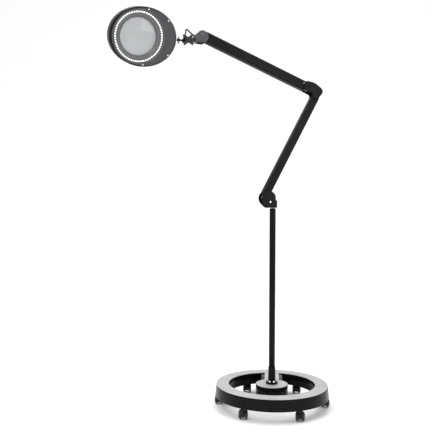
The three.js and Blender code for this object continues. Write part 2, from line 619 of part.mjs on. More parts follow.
function addHead(head) {
  const [front, rear] = [-HEAD_HALF_DEPTH, HEAD_HALF_DEPTH];
  const shellRim = front + FACE_THICK;
  const rounded = oval(3, shellRim, rear - 3);
  const shell = join(oval(0, shellRim, rear - 9), oval(2.5, rear - 9, rear - 4), oval(7, rear - 4, rear));
  const hollow = join(oval(HEAD_WALL, shellRim - 1, rear - 9.5), oval(9.5, rear - 9.5, rear - HEAD_WALL));
  const cavity = hollow.intersect(join(rounded, oval(HEAD_WALL, shellRim - 1, rear - 8)));
  const openings = [
    faceDisc(REAR_OPENING_R, 0, 40), crossRod(SWITCH_AT, SWITCH_R + 0.5, 0, 40),
  ];
  add(head, 'head_casing', cut(shell, cavity, ...openings), 'blackPlastic');

  const plate = cut(oval(0.6, front, shellRim - GAP), faceDisc(LED_OUTER + 1, -40, 0));
  add(head, 'front_plate', plate, 'faceplate');
  const ring = (inner, outer, y0, y1) => faceRing([[inner, -y1], [outer, -y1], [outer, -y0], [inner, -y0]]);
  add(head, 'led_board', ring(LED_INNER - 4, LED_OUTER, ...BOARD_Y), 'board');
  const [ledBack, ledShoulder, ledFront] = DIFFUSER;
  add(head, 'led_diffuser', faceRing([
    [LED_INNER, ledBack], [LED_OUTER, ledBack], [LED_OUTER, ledShoulder], [LED_OUTER - 3, ledFront],
    [LED_INNER + 3, ledFront], [LED_INNER, ledShoulder],
  ]), 'diffuser');
  const bezelOut = LED_INNER - GAP;
  add(head, 'lens_bezel', faceRing([
    [BEZEL_R, BEZEL_BACK], [BEZEL_R + BEZEL_WALL, BEZEL_BACK], [BEZEL_R + BEZEL_WALL, BEZEL_FRONT + 4],
    [bezelOut, BEZEL_FRONT + 7.5], [bezelOut, BEZEL_FRONT + 9.5], [BEZEL_R + 1.5, BEZEL_FRONT + 6],
    [BEZEL_R - BEZEL_LIP, BEZEL_FRONT], [BEZEL_R - BEZEL_LIP, BEZEL_FRONT / 2], [BEZEL_R, 4.5],
  ]), 'faceplate');
  const lens = turned([...LENS_FRONT, ...LENS_BACK], FINE).rotate([90, 0, 0]).translate([0, LENS_PLANE, 0]);
  add(head, 'lens', lens, 'glass');

  add(head, 'led_driver', box(92, 115, -8, 2, -24, 24), 'board');
}

function addSwitch(button) {
  const cap = crossRod(SWITCH_AT, SWITCH_R, 12, HEAD_HALF_DEPTH + 2.5);
  const flange = crossRod(SWITCH_AT, SWITCH_R + 2, 9, 12.5);
  add(button, 'power_button', join(cap, flange), 'capPlastic');
}

const LID_HINGE = [LID_R + 5, HEAD_HALF_DEPTH + 4];   // upright axis in X and Y from the lens centre

function addLid(lid, head) {
  const [hx, hy] = LID_HINGE;
  const y0 = HEAD_HALF_DEPTH + LID_GAP;
  const y1 = y0 + LID_THICK;
  const upright = (radius, z0, z1, sides) => rod(radius, z0, z1, sides).translate([hx, hy, 0]);
  const leaf = (inner) => box(inner, hx, y0 + 1, y1, -HINGE_HALF, HINGE_HALF);
  const bore = upright(HINGE_BORE, -THROUGH, THROUGH, PIN_SIDES);
  const clear = upright(HINGE_R + GAP, -THROUGH, THROUGH, 12);
  const plate = cut(join(faceDisc(LID_R, y0, y1), leaf(LID_R - HINGE_LEAF)), clear);
  const cover = cut(join(plate, upright(HINGE_R, -HINGE_HALF, HINGE_HALF, 12), leaf(hx - HINGE_LEAF)), bore);
  add(lid, 'dust_cover', cover.translate([-hx, -hy, 0]), 'capPlastic');

  const [lugIn, lugOut] = HINGE_LUG;
  const footPlate = (x0, z0, z1) => box(x0, hx + 12, HEAD_HALF_DEPTH + GAP, HEAD_HALF_DEPTH + 3, z0, z1);
  const lug = (z0, z1) => join(upright(HINGE_R, z0, z1, 12), footPlate(hx - 1, z0, z1));
  const bracket = cut(join(lug(-lugOut, -lugIn), lug(lugIn, lugOut), footPlate(hx + 4, -lugOut, lugOut)), bore);
  add(head, 'lid_hinge_bracket', bracket, 'blackPlastic');
  add(head, 'lid_hinge_pin', upright(HINGE_PIN_R, -lugOut, lugOut, PIN_SIDES), 'steel');
}

function addClevis(head, knuckle) {
  const left = GAP - HEAD_STANDOFF;
  const half = CLEVIS_HALF;
  const backLeft = -half - 2;
  const [bottom, slotBottom, slotTop, top] = CLEVIS_Z;
  const ear = (z0, z1) => join(box(backLeft, 0, -half, half, z0, z1), rod(half, z0, z1));
  const back = box(backLeft, -half, -half, half, bottom, top);
  const stalk = box(left, backLeft + 1, -4, 4, slotBottom, 3);
  const pad = box(left, left + 1.6, -half, half, -9, 7);
  const solid = join(ear(slotTop, top), ear(bottom, slotBottom), back, stalk, pad);
  const clevis = cut(solid, rod(KNUCKLE_PIN_R + GAP, -20, 20, PIN_SIDES));
  add(head, 'head_clevis', clevis.translate([knuckle[0], 0, 0]), 'blackPaint');
  add(head, 'knuckle_pin', rod(KNUCKLE_PIN_R, bottom, top, 12).translate([knuckle[0], 0, 0]), 'steel');
}

// ---------------------------------------------------------------- assembly

const lamp = new THREE.Group();
lamp.name = 'magnifying_lamp';
addBase(lamp);
casterAngles.forEach((angle, i) => addCaster(lamp, i + 1, angle));
addPole(lamp);

const swivel = groupAt(lamp, 'arm_swivel', 0, 0, 0);
swivel.rotation.z = ARM_TURN * RAD;
addShoulder(swivel);

const ELBOW = step(SHOULDER, ARM_LENGTH, LOWER_ANGLE);
const ELBOW_2 = plus(ELBOW, ELBOW_STEP);
const WRIST = step(ELBOW_2, ARM_LENGTH, 180 - UPPER_ANGLE);

function armGroups(spec, pivot, studStep) {
  const arm = groupAt(swivel, `${spec.name}_tilt`, pivot[0], 0, pivot[1]);
  arm.rotation.y = -spec.angle * RAD;
  const eye = plus(pivot, studStep);
  const strap = groupAt(swivel, `${spec.name}_strap_tilt`, eye[0], 0, eye[1]);
  strap.rotation.y = -spec.angle * RAD;
  addArm(arm, strap, spec);
}

armGroups(LOWER, SHOULDER, lowerStudStep);
addElbow(groupAt(swivel, 'elbow_level', ELBOW[0], 0, ELBOW[1]));
armGroups(UPPER, ELBOW_2, upperStudStep);
const wrist = groupAt(swivel, 'wrist_level', WRIST[0], 0, WRIST[1]);
addWrist(wrist);
const neck = groupAt(wrist, 'head_pitch', KNOB_AT[0], 0, KNOB_AT[1]);
addNeck(neck);
addKnob(groupAt(neck, 'knob_turn', 0, 0, 0));
const roll = groupAt(neck, 'head_tilt', 0, 0, 0);
roll.rotation.x = HEAD_TILT * RAD;
addNeckRod(roll);
const headSwivel = groupAt(roll, 'head_swivel', KNUCKLE_AT[0] - KNOB_AT[0], 0, 0);
headSwivel.rotation.z = HEAD_YAW * RAD;

const knuckleFromLens = [HEAD_SHIFT + HEAD_A + HEAD_STANDOFF, 0];
const head = groupAt(headSwivel, 'head', -knuckleFromLens[0], 0, 0);
addHead(head);
addSwitch(groupAt(head, 'button_press', 0, 0, 0));
addClevis(head, knuckleFromLens);
addLid(groupAt(head, 'lid_open', LID_HINGE[0], LID_HINGE[1], 0), head);

export default lamp;
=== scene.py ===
"""Looks of the magnifying lamp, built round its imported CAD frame.

Each shape is drawn in millimetres in the local frame of the joint or body that it belongs to, and its main
sizes are read from the CAD nodes that it stands for.
"""

import json
import math

import bmesh
import bpy
from mathutils import Matrix, Vector


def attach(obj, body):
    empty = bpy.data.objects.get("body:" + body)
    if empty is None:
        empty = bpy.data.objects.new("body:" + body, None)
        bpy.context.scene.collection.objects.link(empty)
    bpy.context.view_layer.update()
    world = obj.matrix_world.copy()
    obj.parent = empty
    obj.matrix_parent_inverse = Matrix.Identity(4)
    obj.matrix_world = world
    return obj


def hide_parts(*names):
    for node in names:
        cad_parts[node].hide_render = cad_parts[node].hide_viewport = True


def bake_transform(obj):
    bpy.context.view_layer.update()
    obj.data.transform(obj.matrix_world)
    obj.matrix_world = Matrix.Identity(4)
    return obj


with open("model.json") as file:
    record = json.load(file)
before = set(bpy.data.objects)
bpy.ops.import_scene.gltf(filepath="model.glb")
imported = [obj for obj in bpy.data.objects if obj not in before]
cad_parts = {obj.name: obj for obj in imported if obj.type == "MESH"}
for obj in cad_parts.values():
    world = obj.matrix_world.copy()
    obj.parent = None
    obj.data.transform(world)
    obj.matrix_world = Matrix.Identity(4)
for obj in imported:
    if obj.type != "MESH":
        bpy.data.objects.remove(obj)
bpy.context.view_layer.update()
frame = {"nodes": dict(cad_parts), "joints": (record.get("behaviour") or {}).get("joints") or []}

MM = 0.001
FINE = 160            # points round the ring, hub and head
ROUND = 64            # points round pins, screws and wheels
JOINTS = {joint["name"]: joint for joint in frame["joints"]}
CASTERS = range(1, 7)
STUD_BORE = 3.65      # radius of the hole for the clamp knob's stud


# ---------------------------------------------------------------- local frames

def joint_at(name):
    return Vector(JOINTS[name]["pos_m"])


def joint_axis(name):
    return Vector(JOINTS[name]["axis"]).normalized()


def frame_at(origin, x_axis, y_axis):
    x, y = x_axis.normalized(), y_axis.normalized()
    return Matrix.Translation(origin) @ Matrix((x, y, x.cross(y))).transposed().to_4x4()


UP = Vector((0, 0, 1))
ARM_Y = joint_axis("lower_tilt")
ARM_X = ARM_Y.cross(UP)
HEAD_Z = joint_axis("head_swivel")
HEAD_Y = -joint_axis("button_press")

BASE = Matrix.Identity(4)
SHOULDER = frame_at(Vector((0, 0, 0)), ARM_X, ARM_Y)
LOWER = frame_at(joint_at("lower_tilt"), joint_at("elbow_level") - joint_at("lower_tilt"), ARM_Y)
ELBOW = frame_at(joint_at("elbow_level"), ARM_X, ARM_Y)
UPPER = frame_at(joint_at("upper_tilt"), joint_at("wrist_level") - joint_at("upper_tilt"), ARM_Y)
WRIST = frame_at(joint_at("wrist_level"), ARM_X, ARM_Y)
NECK = frame_at(joint_at("head_pitch"), ARM_X, ARM_Y)
ROLL = frame_at(joint_at("head_tilt"), ARM_X, HEAD_Z.cross(ARM_X))
KNUCKLE = frame_at(joint_at("head_swivel"), HEAD_Y.cross(HEAD_Z), HEAD_Y)


def local_points(node, place):
    """Vertices of a CAD node in a local frame, in millimetres."""
    inverse = place.inverted()
    return [inverse @ vertex.co / MM for vertex in frame["nodes"][node].data.vertices]


def local_box(node, place):
    """Lowest and highest corner of a CAD node in a local frame, in millimetres."""
    points = local_points(node, place)
    low = Vector([min(point[i] for point in points) for i in range(3)])
    high = Vector([max(point[i] for point in points) for i in range(3)])
    return low, high


def reach(node, place):
    """Largest distance of a CAD node from the local Z axis, in millimetres."""
    return max(math.hypot(point.x, point.y) for point in local_points(node, place))


def bore_about_z(node, place):
    """Smallest distance of a CAD node from the local Z axis, in millimetres."""
    return min(math.hypot(point.x, point.y) for point in local_points(node, place))


def bore_about_y(node, place, x=0.0, z=0.0):
    """Smallest distance of a CAD node from a line along local Y, in millimetres."""
    return min(math.hypot(point.x - x, point.z - z) for point in local_points(node, place))


bezel_low, bezel_high = local_box("lens_bezel", KNUCKLE)
LENS_FROM_KNUCKLE = (bezel_low.x + bezel_high.x) / 2
HEAD = KNUCKLE @ Matrix.Translation((LENS_FROM_KNUCKLE * MM, 0, 0))
WORLD_HEAD = Matrix.Scale(1 / MM, 4) @ HEAD @ Matrix.Scale(MM, 4)


# ---------------------------------------------------------------- outlines

def rounded(corners, radius=1.0, steps=4, closed=True):
    """The outline with its corners turned into arcs. A corner's third number is its own radius."""
    count = len(corners)
    outline = []
    for i, corner in enumerate(corners):
        here = Vector(corner[:2])
        if not closed and i in (0, count - 1):
            outline.append(here)
            continue
        to_last = Vector(corners[i - 1][:2]) - here
        to_next = Vector(corners[(i + 1) % count][:2]) - here
        angle = to_last.angle(to_next)
        wanted = corner[2] if len(corner) > 2 else radius
        if wanted <= 0 or angle > math.radians(176):
            outline.append(here)
            continue
        run = min(wanted / math.tan(angle / 2), 0.48 * to_last.length, 0.48 * to_next.length)
        size = run * math.tan(angle / 2)
        middle = (to_last.normalized() + to_next.normalized()).normalized()
        centre = here + middle * (size / math.sin(angle / 2))
        first = here + to_last.normalized() * run - centre
        last = here + to_next.normalized() * run - centre
        turn = math.pi - angle
        for k in range(steps + 1):
            t = k / steps
            bent = first * math.sin((1 - t) * turn) + last * math.sin(t * turn)
            outline.append(centre + bent / math.sin(turn))
    return outline


def arc(centre, radius, start, end, steps):
    angles = [math.radians(start + (end - start) * k / steps) for k in range(steps + 1)]
    return [Vector((centre[0] + radius * math.cos(a), centre[1] + radius * math.sin(a))) for a in angles]


def inset(outline, distance):
    """The closed outline moved inwards, for the edges of a plate."""
    count = len(outline)
    area = sum(outline[i - 1].cross(outline[i]) for i in range(count))
    side = 1 if area > 0 else -1
    moved = []
    for i, here in enumerate(outline):
        a = (here - outline[i - 1]).normalized()
        b = (outline[(i + 1) % count] - here).normalized()
        normal = Vector((-(a + b).y, (a + b).x)).normalized() * side
        stretch = max(0.5, math.sqrt(max(0.0, (1 + a.dot(b)) / 2)))
        moved.append(here + normal * distance / stretch)
    return moved


def circle(radius, count=ROUND, centre=(0, 0)):
    angles = [2 * math.pi * k / count for k in range(count)]
    return [Vector((centre[0] + radius * math.cos(a), centre[1] + radius * math.sin(a))) for a in angles]


def hexagon(radius, corner):
    return rounded([(radius * math.cos(k * math.pi / 3), radius * math.sin(k * math.pi / 3))
                    for k in range(6)], corner, 3)


def oval(a, b, count=FINE, centre=(0, 0)):
    angles = [2 * math.pi * k / count for k in range(count)]
    return [Vector((centre[0] + a * math.cos(t), centre[1] + b * math.sin(t))) for t in angles]


# ---------------------------------------------------------------- solids, as (points, faces)

def loft(rings, loop=False):
    """Closed skin through rings of points. A loop joins the last ring to the first."""
    count = len(rings[0])
    points = [Vector(point) for ring in rings for point in ring]
    faces = []
    for i in range(len(rings) if loop else len(rings) - 1):
        a, b = i * count, (i + 1) % len(rings) * count
        faces += [(a + k, a + (k + 1) % count, b + (k + 1) % count, b + k) for k in range(count)]
    if not loop:
        last = (len(rings) - 1) * count
        faces += [tuple(reversed(range(count))), tuple(range(last, last + count))]
    return points, faces


def lathe(profile, count=ROUND, loop=False):
    """Turned about Z. profile is a list of (radius, height)."""
    return loft([[(x, y, z) for x, y in circle(r, count)] for r, z in profile], loop)


def drill(radius, low, high, count):
    """Plain cylinder along Z, to cut a bore with."""
    return lathe([(radius, low), (radius, high)], count)


def turned_ring(corners, radius=0.6, count=FINE, steps=3):
    return lathe(rounded(corners, radius, steps), count, loop=True)


def turned_rod(corners, radius=0.6, count=ROUND, steps=3):
    return lathe(rounded(corners, radius, steps, closed=False), count)


def edge_rings(outline, low, high, edge, steps=3):
    """Rings from low to high, with both edges of the plate rounded."""
    rings = []
    for k in range(steps + 1):
        t = math.radians(90 * k / steps)
        rings.append((inset(outline, edge * (1 - math.sin(t))), low + edge * (1 - math.cos(t))))
    for k in range(steps + 1):
        t = math.radians(90 * k / steps)
        rings.append((inset(outline, edge * (1 - math.cos(t))), high - edge * (1 - math.sin(t))))
    return rings


def plate_y(outline, y0, y1, edge=0.8, steps=3):
    """Plate drawn in X and Z, from y0 to y1."""
    rings = edge_rings(outline, y0, y1, edge, steps)
    return loft([[(p.x, y, p.y) for p in ring] for ring, y in rings])


def plate_z(outline, z0, z1, edge=0.8, steps=3):
    rings = edge_rings(outline, z0, z1, edge, steps)
    return loft([[(p.x, p.y, z) for p in ring] for ring, z in rings])


def bar_x(outline, x0, x1, edge=0.8, steps=3):
    """Bar drawn in Y and Z, from x0 to x1."""
    rings = edge_rings(outline, x0, x1, edge, steps)
    return loft([[(x, p.x, p.y) for p in ring] for ring, x in rings])


def block(low, high, edge=0.8, corner=1.0):
    (x0, y0, z0), (x1, y1, z1) = low, high
    return plate_z(rounded([(x0, y0), (x1, y0), (x1, y1), (x0, y1)], corner), z0, z1, edge)


def placed(part, matrix):
    return [matrix @ point for point in part[0]], part[1]


def moved(part, x=0.0, y=0.0, z=0.0):
    return placed(part, Matrix.Translation((x, y, z)))


TO_Y = Matrix.Rotation(math.radians(-90), 4, "X")    # turns +Z to +Y
TO_X = Matrix.Rotation(math.radians(90), 4, "Y")     # turns +Z to +X
TO_MINUS_Y = Matrix.Rotation(math.radians(90), 4, "X")


def along_y(part, x, y, z):
    """A part drawn along Z, turned to run along Y and moved."""
    return placed(part, Matrix.Translation((x, y, z)) @ TO_Y)


def tube_along(path, radius, count=12):
    """A round lead along a list of points in the X-Z plane."""
    rings = []
    for i, here in enumerate(path):
        ahead = path[min(i + 1, len(path) - 1)] - path[max(i - 1, 0)]
        ahead.normalize()
        across = Vector((0, 1, 0))
        out = ahead.cross(across).normalized()
        angles = [2 * math.pi * k / count for k in range(count)]
        rings.append([here + (out * math.cos(t) + across * math.sin(t)) * radius for t in angles])
    return loft(rings)


def smooth_path(points, steps=8):
    """Catmull-Rom curve through (x, z) points, in the X-Z plane."""
    pts = [Vector((x, 0, z)) for x, z in points]
    path = []
    for i in range(len(pts) - 1):
        before, a, b, after = pts[max(i - 1, 0)], pts[i], pts[i + 1], pts[min(i + 2, len(pts) - 1)]
        for k in range(steps):
            t = k / steps
            path.append(0.5 * (2 * a + (b - before) * t + (2 * before - 5 * a + 4 * b - after) * t ** 2
                               + (3 * a - before - 3 * b + after) * t ** 3))
    path.append(pts[-1])
    return path


def screw_head(radius, height, sink, count=48):
    """Domed screw head on Z = 0 with a cross recess."""
    top = 78
    rings = []
    for k in range(7):
        t = math.radians(top * k / 6)
        rings.append([(x, y, height * math.sin(t) / math.sin(math.radians(top)))
                      for x, y in circle(radius * math.cos(t) ** 0.75, count)])
    rim = radius * math.cos(math.radians(top)) ** 0.75
    angles = [2 * math.pi * k / count for k in range(count)]

    def recess(scale, z):
        spread = [rim * scale * (0.45 + 0.55 * abs(math.cos(2 * t)) ** 3) for t in angles]
        return [(r * math.cos(t), r * math.sin(t), z) for r, t in zip(spread, angles)]

    rings.append(recess(1.0, height))
    rings.append(recess(0.9, height * (1 - sink)))
    return loft(rings)


# ---------------------------------------------------------------- materials

def new_material(name):
    material = bpy.data.materials.new(name)
    material.use_nodes = True
    return material, material.node_tree.nodes, material.node_tree.links


def shade(color, factor):
    return [min(1.0, channel * factor) for channel in color] + [1.0]


class Surface:
    """Principled material with fine grain, uneven sheen and uneven colour, all in object space."""

    def __init__(self, name, color, roughness, metallic=0.0, grain=1800.0, relief=0.02, spread=0.12,
                 uneven=0.18, patch=22.0, stretch=(1, 1, 1), specular=0.5):
        self.material, self.nodes, self.links = new_material(name)
        self.bsdf = self.nodes["Principled BSDF"]
        self.bsdf.inputs["Metallic"].default_value = metallic
        self.bsdf.inputs["Specular IOR Level"].default_value = specular
        coords = self.nodes.new("ShaderNodeTexCoord")
        self.mapping = self.nodes.new("ShaderNodeMapping")
        self.mapping.inputs["Scale"].default_value = stretch
        self.links.new(coords.outputs["Object"], self.mapping.inputs["Vector"])
        self.fine = self.noise(grain, 3.0)
        self.broad = self.noise(patch, 4.0)
        self.paint(color, spread)
        self.sheen(roughness, uneven)
        self.bump = self.nodes.new("ShaderNodeBump")
        self.bump.inputs["Strength"].default_value = 0.6
        self.bump.inputs["Distance"].default_value = relief * MM
        self.links.new(self.fine.outputs["Fac"], self.bump.inputs["Height"])
        self.links.new(self.bump.outputs["Normal"], self.bsdf.inputs["Normal"])

    def noise(self, scale, detail, distortion=0.0):
        node = self.nodes.new("ShaderNodeTexNoise")
        node.inputs["Scale"].default_value = scale
        node.inputs["Detail"].default_value = detail
        node.inputs["Distortion"].default_value = distortion
        self.links.new(self.mapping.outputs["Vector"], node.inputs["Vector"])
        return node

    def ramp(self, source, stops):
        node = self.nodes.new("ShaderNodeValToRGB")
        elements = node.color_ramp.elements
        while len(elements) < len(stops):
            elements.new(0.5)
        for element, (place, color) in zip(elements, stops):
            element.position = place
            element.color = color
        self.links.new(source, node.inputs["Fac"])
        return node

    def paint(self, color, spread):
        """Broad patches and fine specks a little darker and lighter than color."""
        base = self.ramp(self.broad.outputs["Fac"], [
            (0.3, shade(color, 1 - spread)), (0.5, shade(color, 1)), (0.72, shade(color, 1 + spread))])
        specks = self.ramp(self.fine.outputs["Fac"], [
            (0.35, shade((1, 1, 1), 1 - spread)), (0.65, (1, 1, 1, 1))])
        mix = self.nodes.new("ShaderNodeMix")
        mix.data_type = "RGBA"
        mix.blend_type = "MULTIPLY"
        mix.inputs["Factor"].default_value = 1.0
        self.links.new(base.outputs["Color"], mix.inputs["A"])
        self.links.new(specks.outputs["Color"], mix.inputs["B"])
        self.color = mix
        self.links.new(mix.outputs["Result"], self.bsdf.inputs["Base Color"])

    def sheen(self, roughness, uneven):
        """Roughness that wanders round its value, with faint rub marks."""
        rubs = self.noise(60.0, 6.0, 1.5)
        add = self.nodes.new("ShaderNodeMath")
        add.operation = "ADD"
        self.links.new(self.broad.outputs["Fac"], add.inputs[0])
        self.links.new(rubs.outputs["Fac"], add.inputs[1])
        spread = self.nodes.new("ShaderNodeMapRange")
        spread.inputs["From Min"].default_value = 0.7
        spread.inputs["From Max"].default_value = 1.3
        spread.inputs["To Min"].default_value = roughness * (1 - uneven)
        spread.inputs["To Max"].default_value = min(1.0, roughness * (1 + uneven))
        self.links.new(add.outputs["Value"], spread.inputs["Value"])
        self.links.new(spread.outputs["Result"], self.bsdf.inputs["Roughness"])

    def second_bump(self, height, distance, strength=0.5):
        """A coarser relief under the grain."""
        node = self.nodes.new("ShaderNodeBump")
        node.inputs["Strength"].default_value = strength
        node.inputs["Distance"].default_value = distance * MM
        self.links.new(height, node.inputs["Height"])
        self.links.new(node.outputs["Normal"], self.bump.inputs["Normal"])

    def scuffs(self, tint, amount=0.5, scale=(40, 40, 400)):
        """Thin pale rub lines, denser in patches."""
        mapping = self.nodes.new("ShaderNodeMapping")
        mapping.inputs["Scale"].default_value = scale
        mapping.inputs["Rotation"].default_value = (0.3, 0.2, 0.5)
        self.links.new(self.mapping.outputs["Vector"], mapping.inputs["Vector"])
        lines = self.nodes.new("ShaderNodeTexNoise")
        lines.inputs["Scale"].default_value = 6.0
        lines.inputs["Detail"].default_value = 5.0
        self.links.new(mapping.outputs["Vector"], lines.inputs["Vector"])
        thin = self.ramp(lines.outputs["Fac"], [(0.64, (0, 0, 0, 1)), (0.72, (amount, amount, amount, 1))])
        mix = self.nodes.new("ShaderNodeMix")
        mix.data_type = "RGBA"
        self.links.new(thin.outputs["Color"], mix.inputs["Factor"])
        self.links.new(self.color.outputs["Result"], mix.inputs["A"])
        mix.inputs["B"].default_value = (*tint, 1)
        self.color = mix
        self.links.new(mix.outputs["Result"], self.bsdf.inputs["Base Color"])


def black_paint():
    """Gloss powder coat with orange peel."""
    s = Surface("gloss_black_coat", (0.0035, 0.0035, 0.0038), 0.24, relief=0.006, uneven=0.25, specular=0.1)
    peel = s.noise(420.0, 1.0)
    s.second_bump(peel.outputs["Fac"], 0.03, 0.35)
    s.scuffs((0.012, 0.012, 0.0125), 0.3)
    return s.material


def silver_sheet():
    """Silver-grey textured sheet with fine pits."""
    s = Surface("silver_textured_sheet", (0.44, 0.44, 0.445), 0.52, metallic=0.35, grain=950.0, relief=0.09,
                spread=0.1, patch=14.0)
    pits = s.nodes.new("ShaderNodeTexVoronoi")
    pits.inputs["Scale"].default_value = 620.0
    s.links.new(s.mapping.outputs["Vector"], pits.inputs["Vector"])
    s.second_bump(pits.outputs["Distance"], 0.12, 0.4)
    s.scuffs((0.3, 0.3, 0.3), 0.3)
    return s.material


def moulded_black(name="moulded_black", color=(0.0062, 0.0062, 0.0066), roughness=0.42, specular=0.12):
    """Spark-eroded plastic with soft shine and faint rub marks."""
    s = Surface(name, color, roughness, grain=2400.0, relief=0.03, uneven=0.16, specular=specular)
    s.scuffs(shade(color, 2.0)[:3], 0.25)
    return s.material


def satin_plastic(name, color, roughness=0.46, specular=0.45):
    s = Surface(name, color, roughness, grain=2000.0, relief=0.035, spread=0.07, uneven=0.14,
                specular=specular)
    s.scuffs(shade(color, 1.5)[:3], 0.2)
    return s.material


def wheel_nylon():
    """Scuffed wheel tread with grit."""
    s = Surface("wheel_nylon", (0.012, 0.012, 0.0125), 0.55, grain=900.0, relief=0.06, spread=0.3)
    s.scuffs((0.07, 0.068, 0.064), 0.6, (200, 60, 60))
    return s.material


def brushed(name, color, roughness, stretch):
    """Drawn or turned metal, with its lines across the stretched axis."""
    s = Surface(name, color, roughness, metallic=1.0, grain=900.0, relief=0.02, spread=0.14, stretch=stretch)
    s.bsdf.inputs["Anisotropic"].default_value = 0.4
    return s.material


def polished():
    s = Surface("polished_chrome", (0.82, 0.82, 0.83), 0.1, metallic=1.0, grain=1500.0, relief=0.004,
                spread=0.05, uneven=0.3)
    s.scuffs((0.5, 0.5, 0.5), 0.25, (300, 300, 60))
    return s.material


def spring_wire():
    s = Surface("spring_wire", (0.3, 0.3, 0.31), 0.34, metallic=1.0, relief=0.01, spread=0.2)
    return s.material


def solder_mask():
    s = Surface("white_solder_mask", (0.74, 0.75, 0.7), 0.4, grain=1200.0, relief=0.02, spread=0.05)
    return s.material


def light_moulding():
    """Domed beads over the LED channel."""
    s = Surface("led_cover_moulding", (0.86, 0.88, 0.9), 0.3, grain=1500.0, relief=0.02, spread=0.04)
    s.bsdf.inputs["Subsurface Weight"].default_value = 0.2
    s.bsdf.inputs["Subsurface Radius"].default_value = (0.003, 0.003, 0.003)
    s.bsdf.inputs["Emission Color"].default_value = (0.96, 0.98, 1, 1)
    s.bsdf.inputs["Emission Strength"].default_value = 0.55
    return s.material


def lens_glass():
    s = Surface("lens_glass", (0.5, 0.515, 0.515), 0.04, grain=300.0, relief=0.001, spread=0.01, uneven=0.5)
    s.bsdf.inputs["Transmission Weight"].default_value = 0.92
    s.bsdf.inputs["IOR"].default_value = 1.5
    return s.material


def lead_sheath():
    s = Surface("lead_sheath", (0.008, 0.008, 0.0085), 0.5, grain=1600.0, relief=0.03)
    s.scuffs((0.03, 0.03, 0.03), 0.3)
    return s.material


PAINT = black_paint()
SILVER = silver_sheet()
BLACK = moulded_black()
HOOD = moulded_black("hood_black", (0.007, 0.007, 0.0074), 0.26, 0.2)
KNOB = moulded_black("knob_black", (0.022, 0.022, 0.0235), 0.4, 0.2)
CAP = satin_plastic("wrist_cap_grey", (0.062, 0.062, 0.065), 0.42, 0.25)
FACE = satin_plastic("face_grey", (0.056, 0.056, 0.059), 0.5, 0.25)
BEZEL = satin_plastic("bezel_grey", (0.11, 0.11, 0.113), 0.4)
LID = satin_plastic("lid_grey", (0.21, 0.21, 0.215), 0.5)
NYLON = wheel_nylon()
DRAWN = brushed("drawn_steel", (0.46, 0.46, 0.47), 0.3, (0.06, 1, 1))
TURNED = brushed("turned_steel", (0.5, 0.5, 0.51), 0.26, (1, 1, 0.08))
DARK_STEEL = brushed("blackened_steel", (0.035, 0.035, 0.037), 0.4, (0.06, 1, 1))
CHROME = polished()
WIRE = spring_wire()
MILKY = satin_plastic("led_channel_grey", (0.24, 0.24, 0.245), 0.4, 0.3)
BOARD = solder_mask()
LIGHT = light_moulding()
GLASS = lens_glass()
SHEATH = lead_sheath()


# ---------------------------------------------------------------- pieces

def mesh_of(name, parts):
    points, faces = [], []
    for part_points, part_faces in parts:
        first = len(points)
        points += [Vector(point) * MM for point in part_points]
        faces += [tuple(first + i for i in face) for face in part_faces]
    mesh = bpy.data.meshes.new(name)
    mesh.from_pydata(points, [], faces)
    shell = bmesh.new()
    shell.from_mesh(mesh)
    bmesh.ops.remove_doubles(shell, verts=shell.verts, dist=1e-7)
    bmesh.ops.recalc_face_normals(shell, faces=shell.faces)
    shell.to_mesh(mesh)
    shell.free()
    return mesh


def combined(parts, operation="UNION"):
    """One clean solid from overlapping ones, or the first with the others cut away, in millimetres."""
    scene = bpy.context.scene
    objects = []
    for part in parts:
        item = bpy.data.objects.new("solid", mesh_of("solid", [part]))
        scene.collection.objects.link(item)
        objects.append(item)
    for tool in objects[1:]:
        modifier = objects[0].modifiers.new("combine", "BOOLEAN")
        modifier.operation = operation
        modifier.solver = "EXACT"
        modifier.object = tool
    bpy.context.view_layer.update()
    result = objects[0].evaluated_get(bpy.context.evaluated_depsgraph_get()).to_mesh()
    points = [vertex.co / MM for vertex in result.vertices]
    faces = [tuple(polygon.vertices) for polygon in result.polygons]
    for item in objects:
        mesh = item.data
        bpy.data.objects.remove(item)
        bpy.data.meshes.remove(mesh)
    return points, faces


def piece(name, parts, place, body, material, replaces=(), sharp=32):
    """A new visible piece, drawn in the local frame place, that rides on body."""
    if place is HEAD:
        # the head is drawn straight into world axes, so that its bounds are not those of a tilted box
        parts = [placed(part, WORLD_HEAD) for part in parts]
        place = BASE
    mesh = mesh_of(name, parts)
    mesh.shade_smooth()
    mesh.set_sharp_from_angle(angle=math.radians(sharp))
    mesh.materials.append(material)
    item = bpy.data.objects.new(name, mesh)
    bpy.context.scene.collection.objects.link(item)
    item.matrix_world = place
    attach(item, body)
    if replaces:
        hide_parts(*replaces)
    return item


# ---------------------------------------------------------------- rolling base

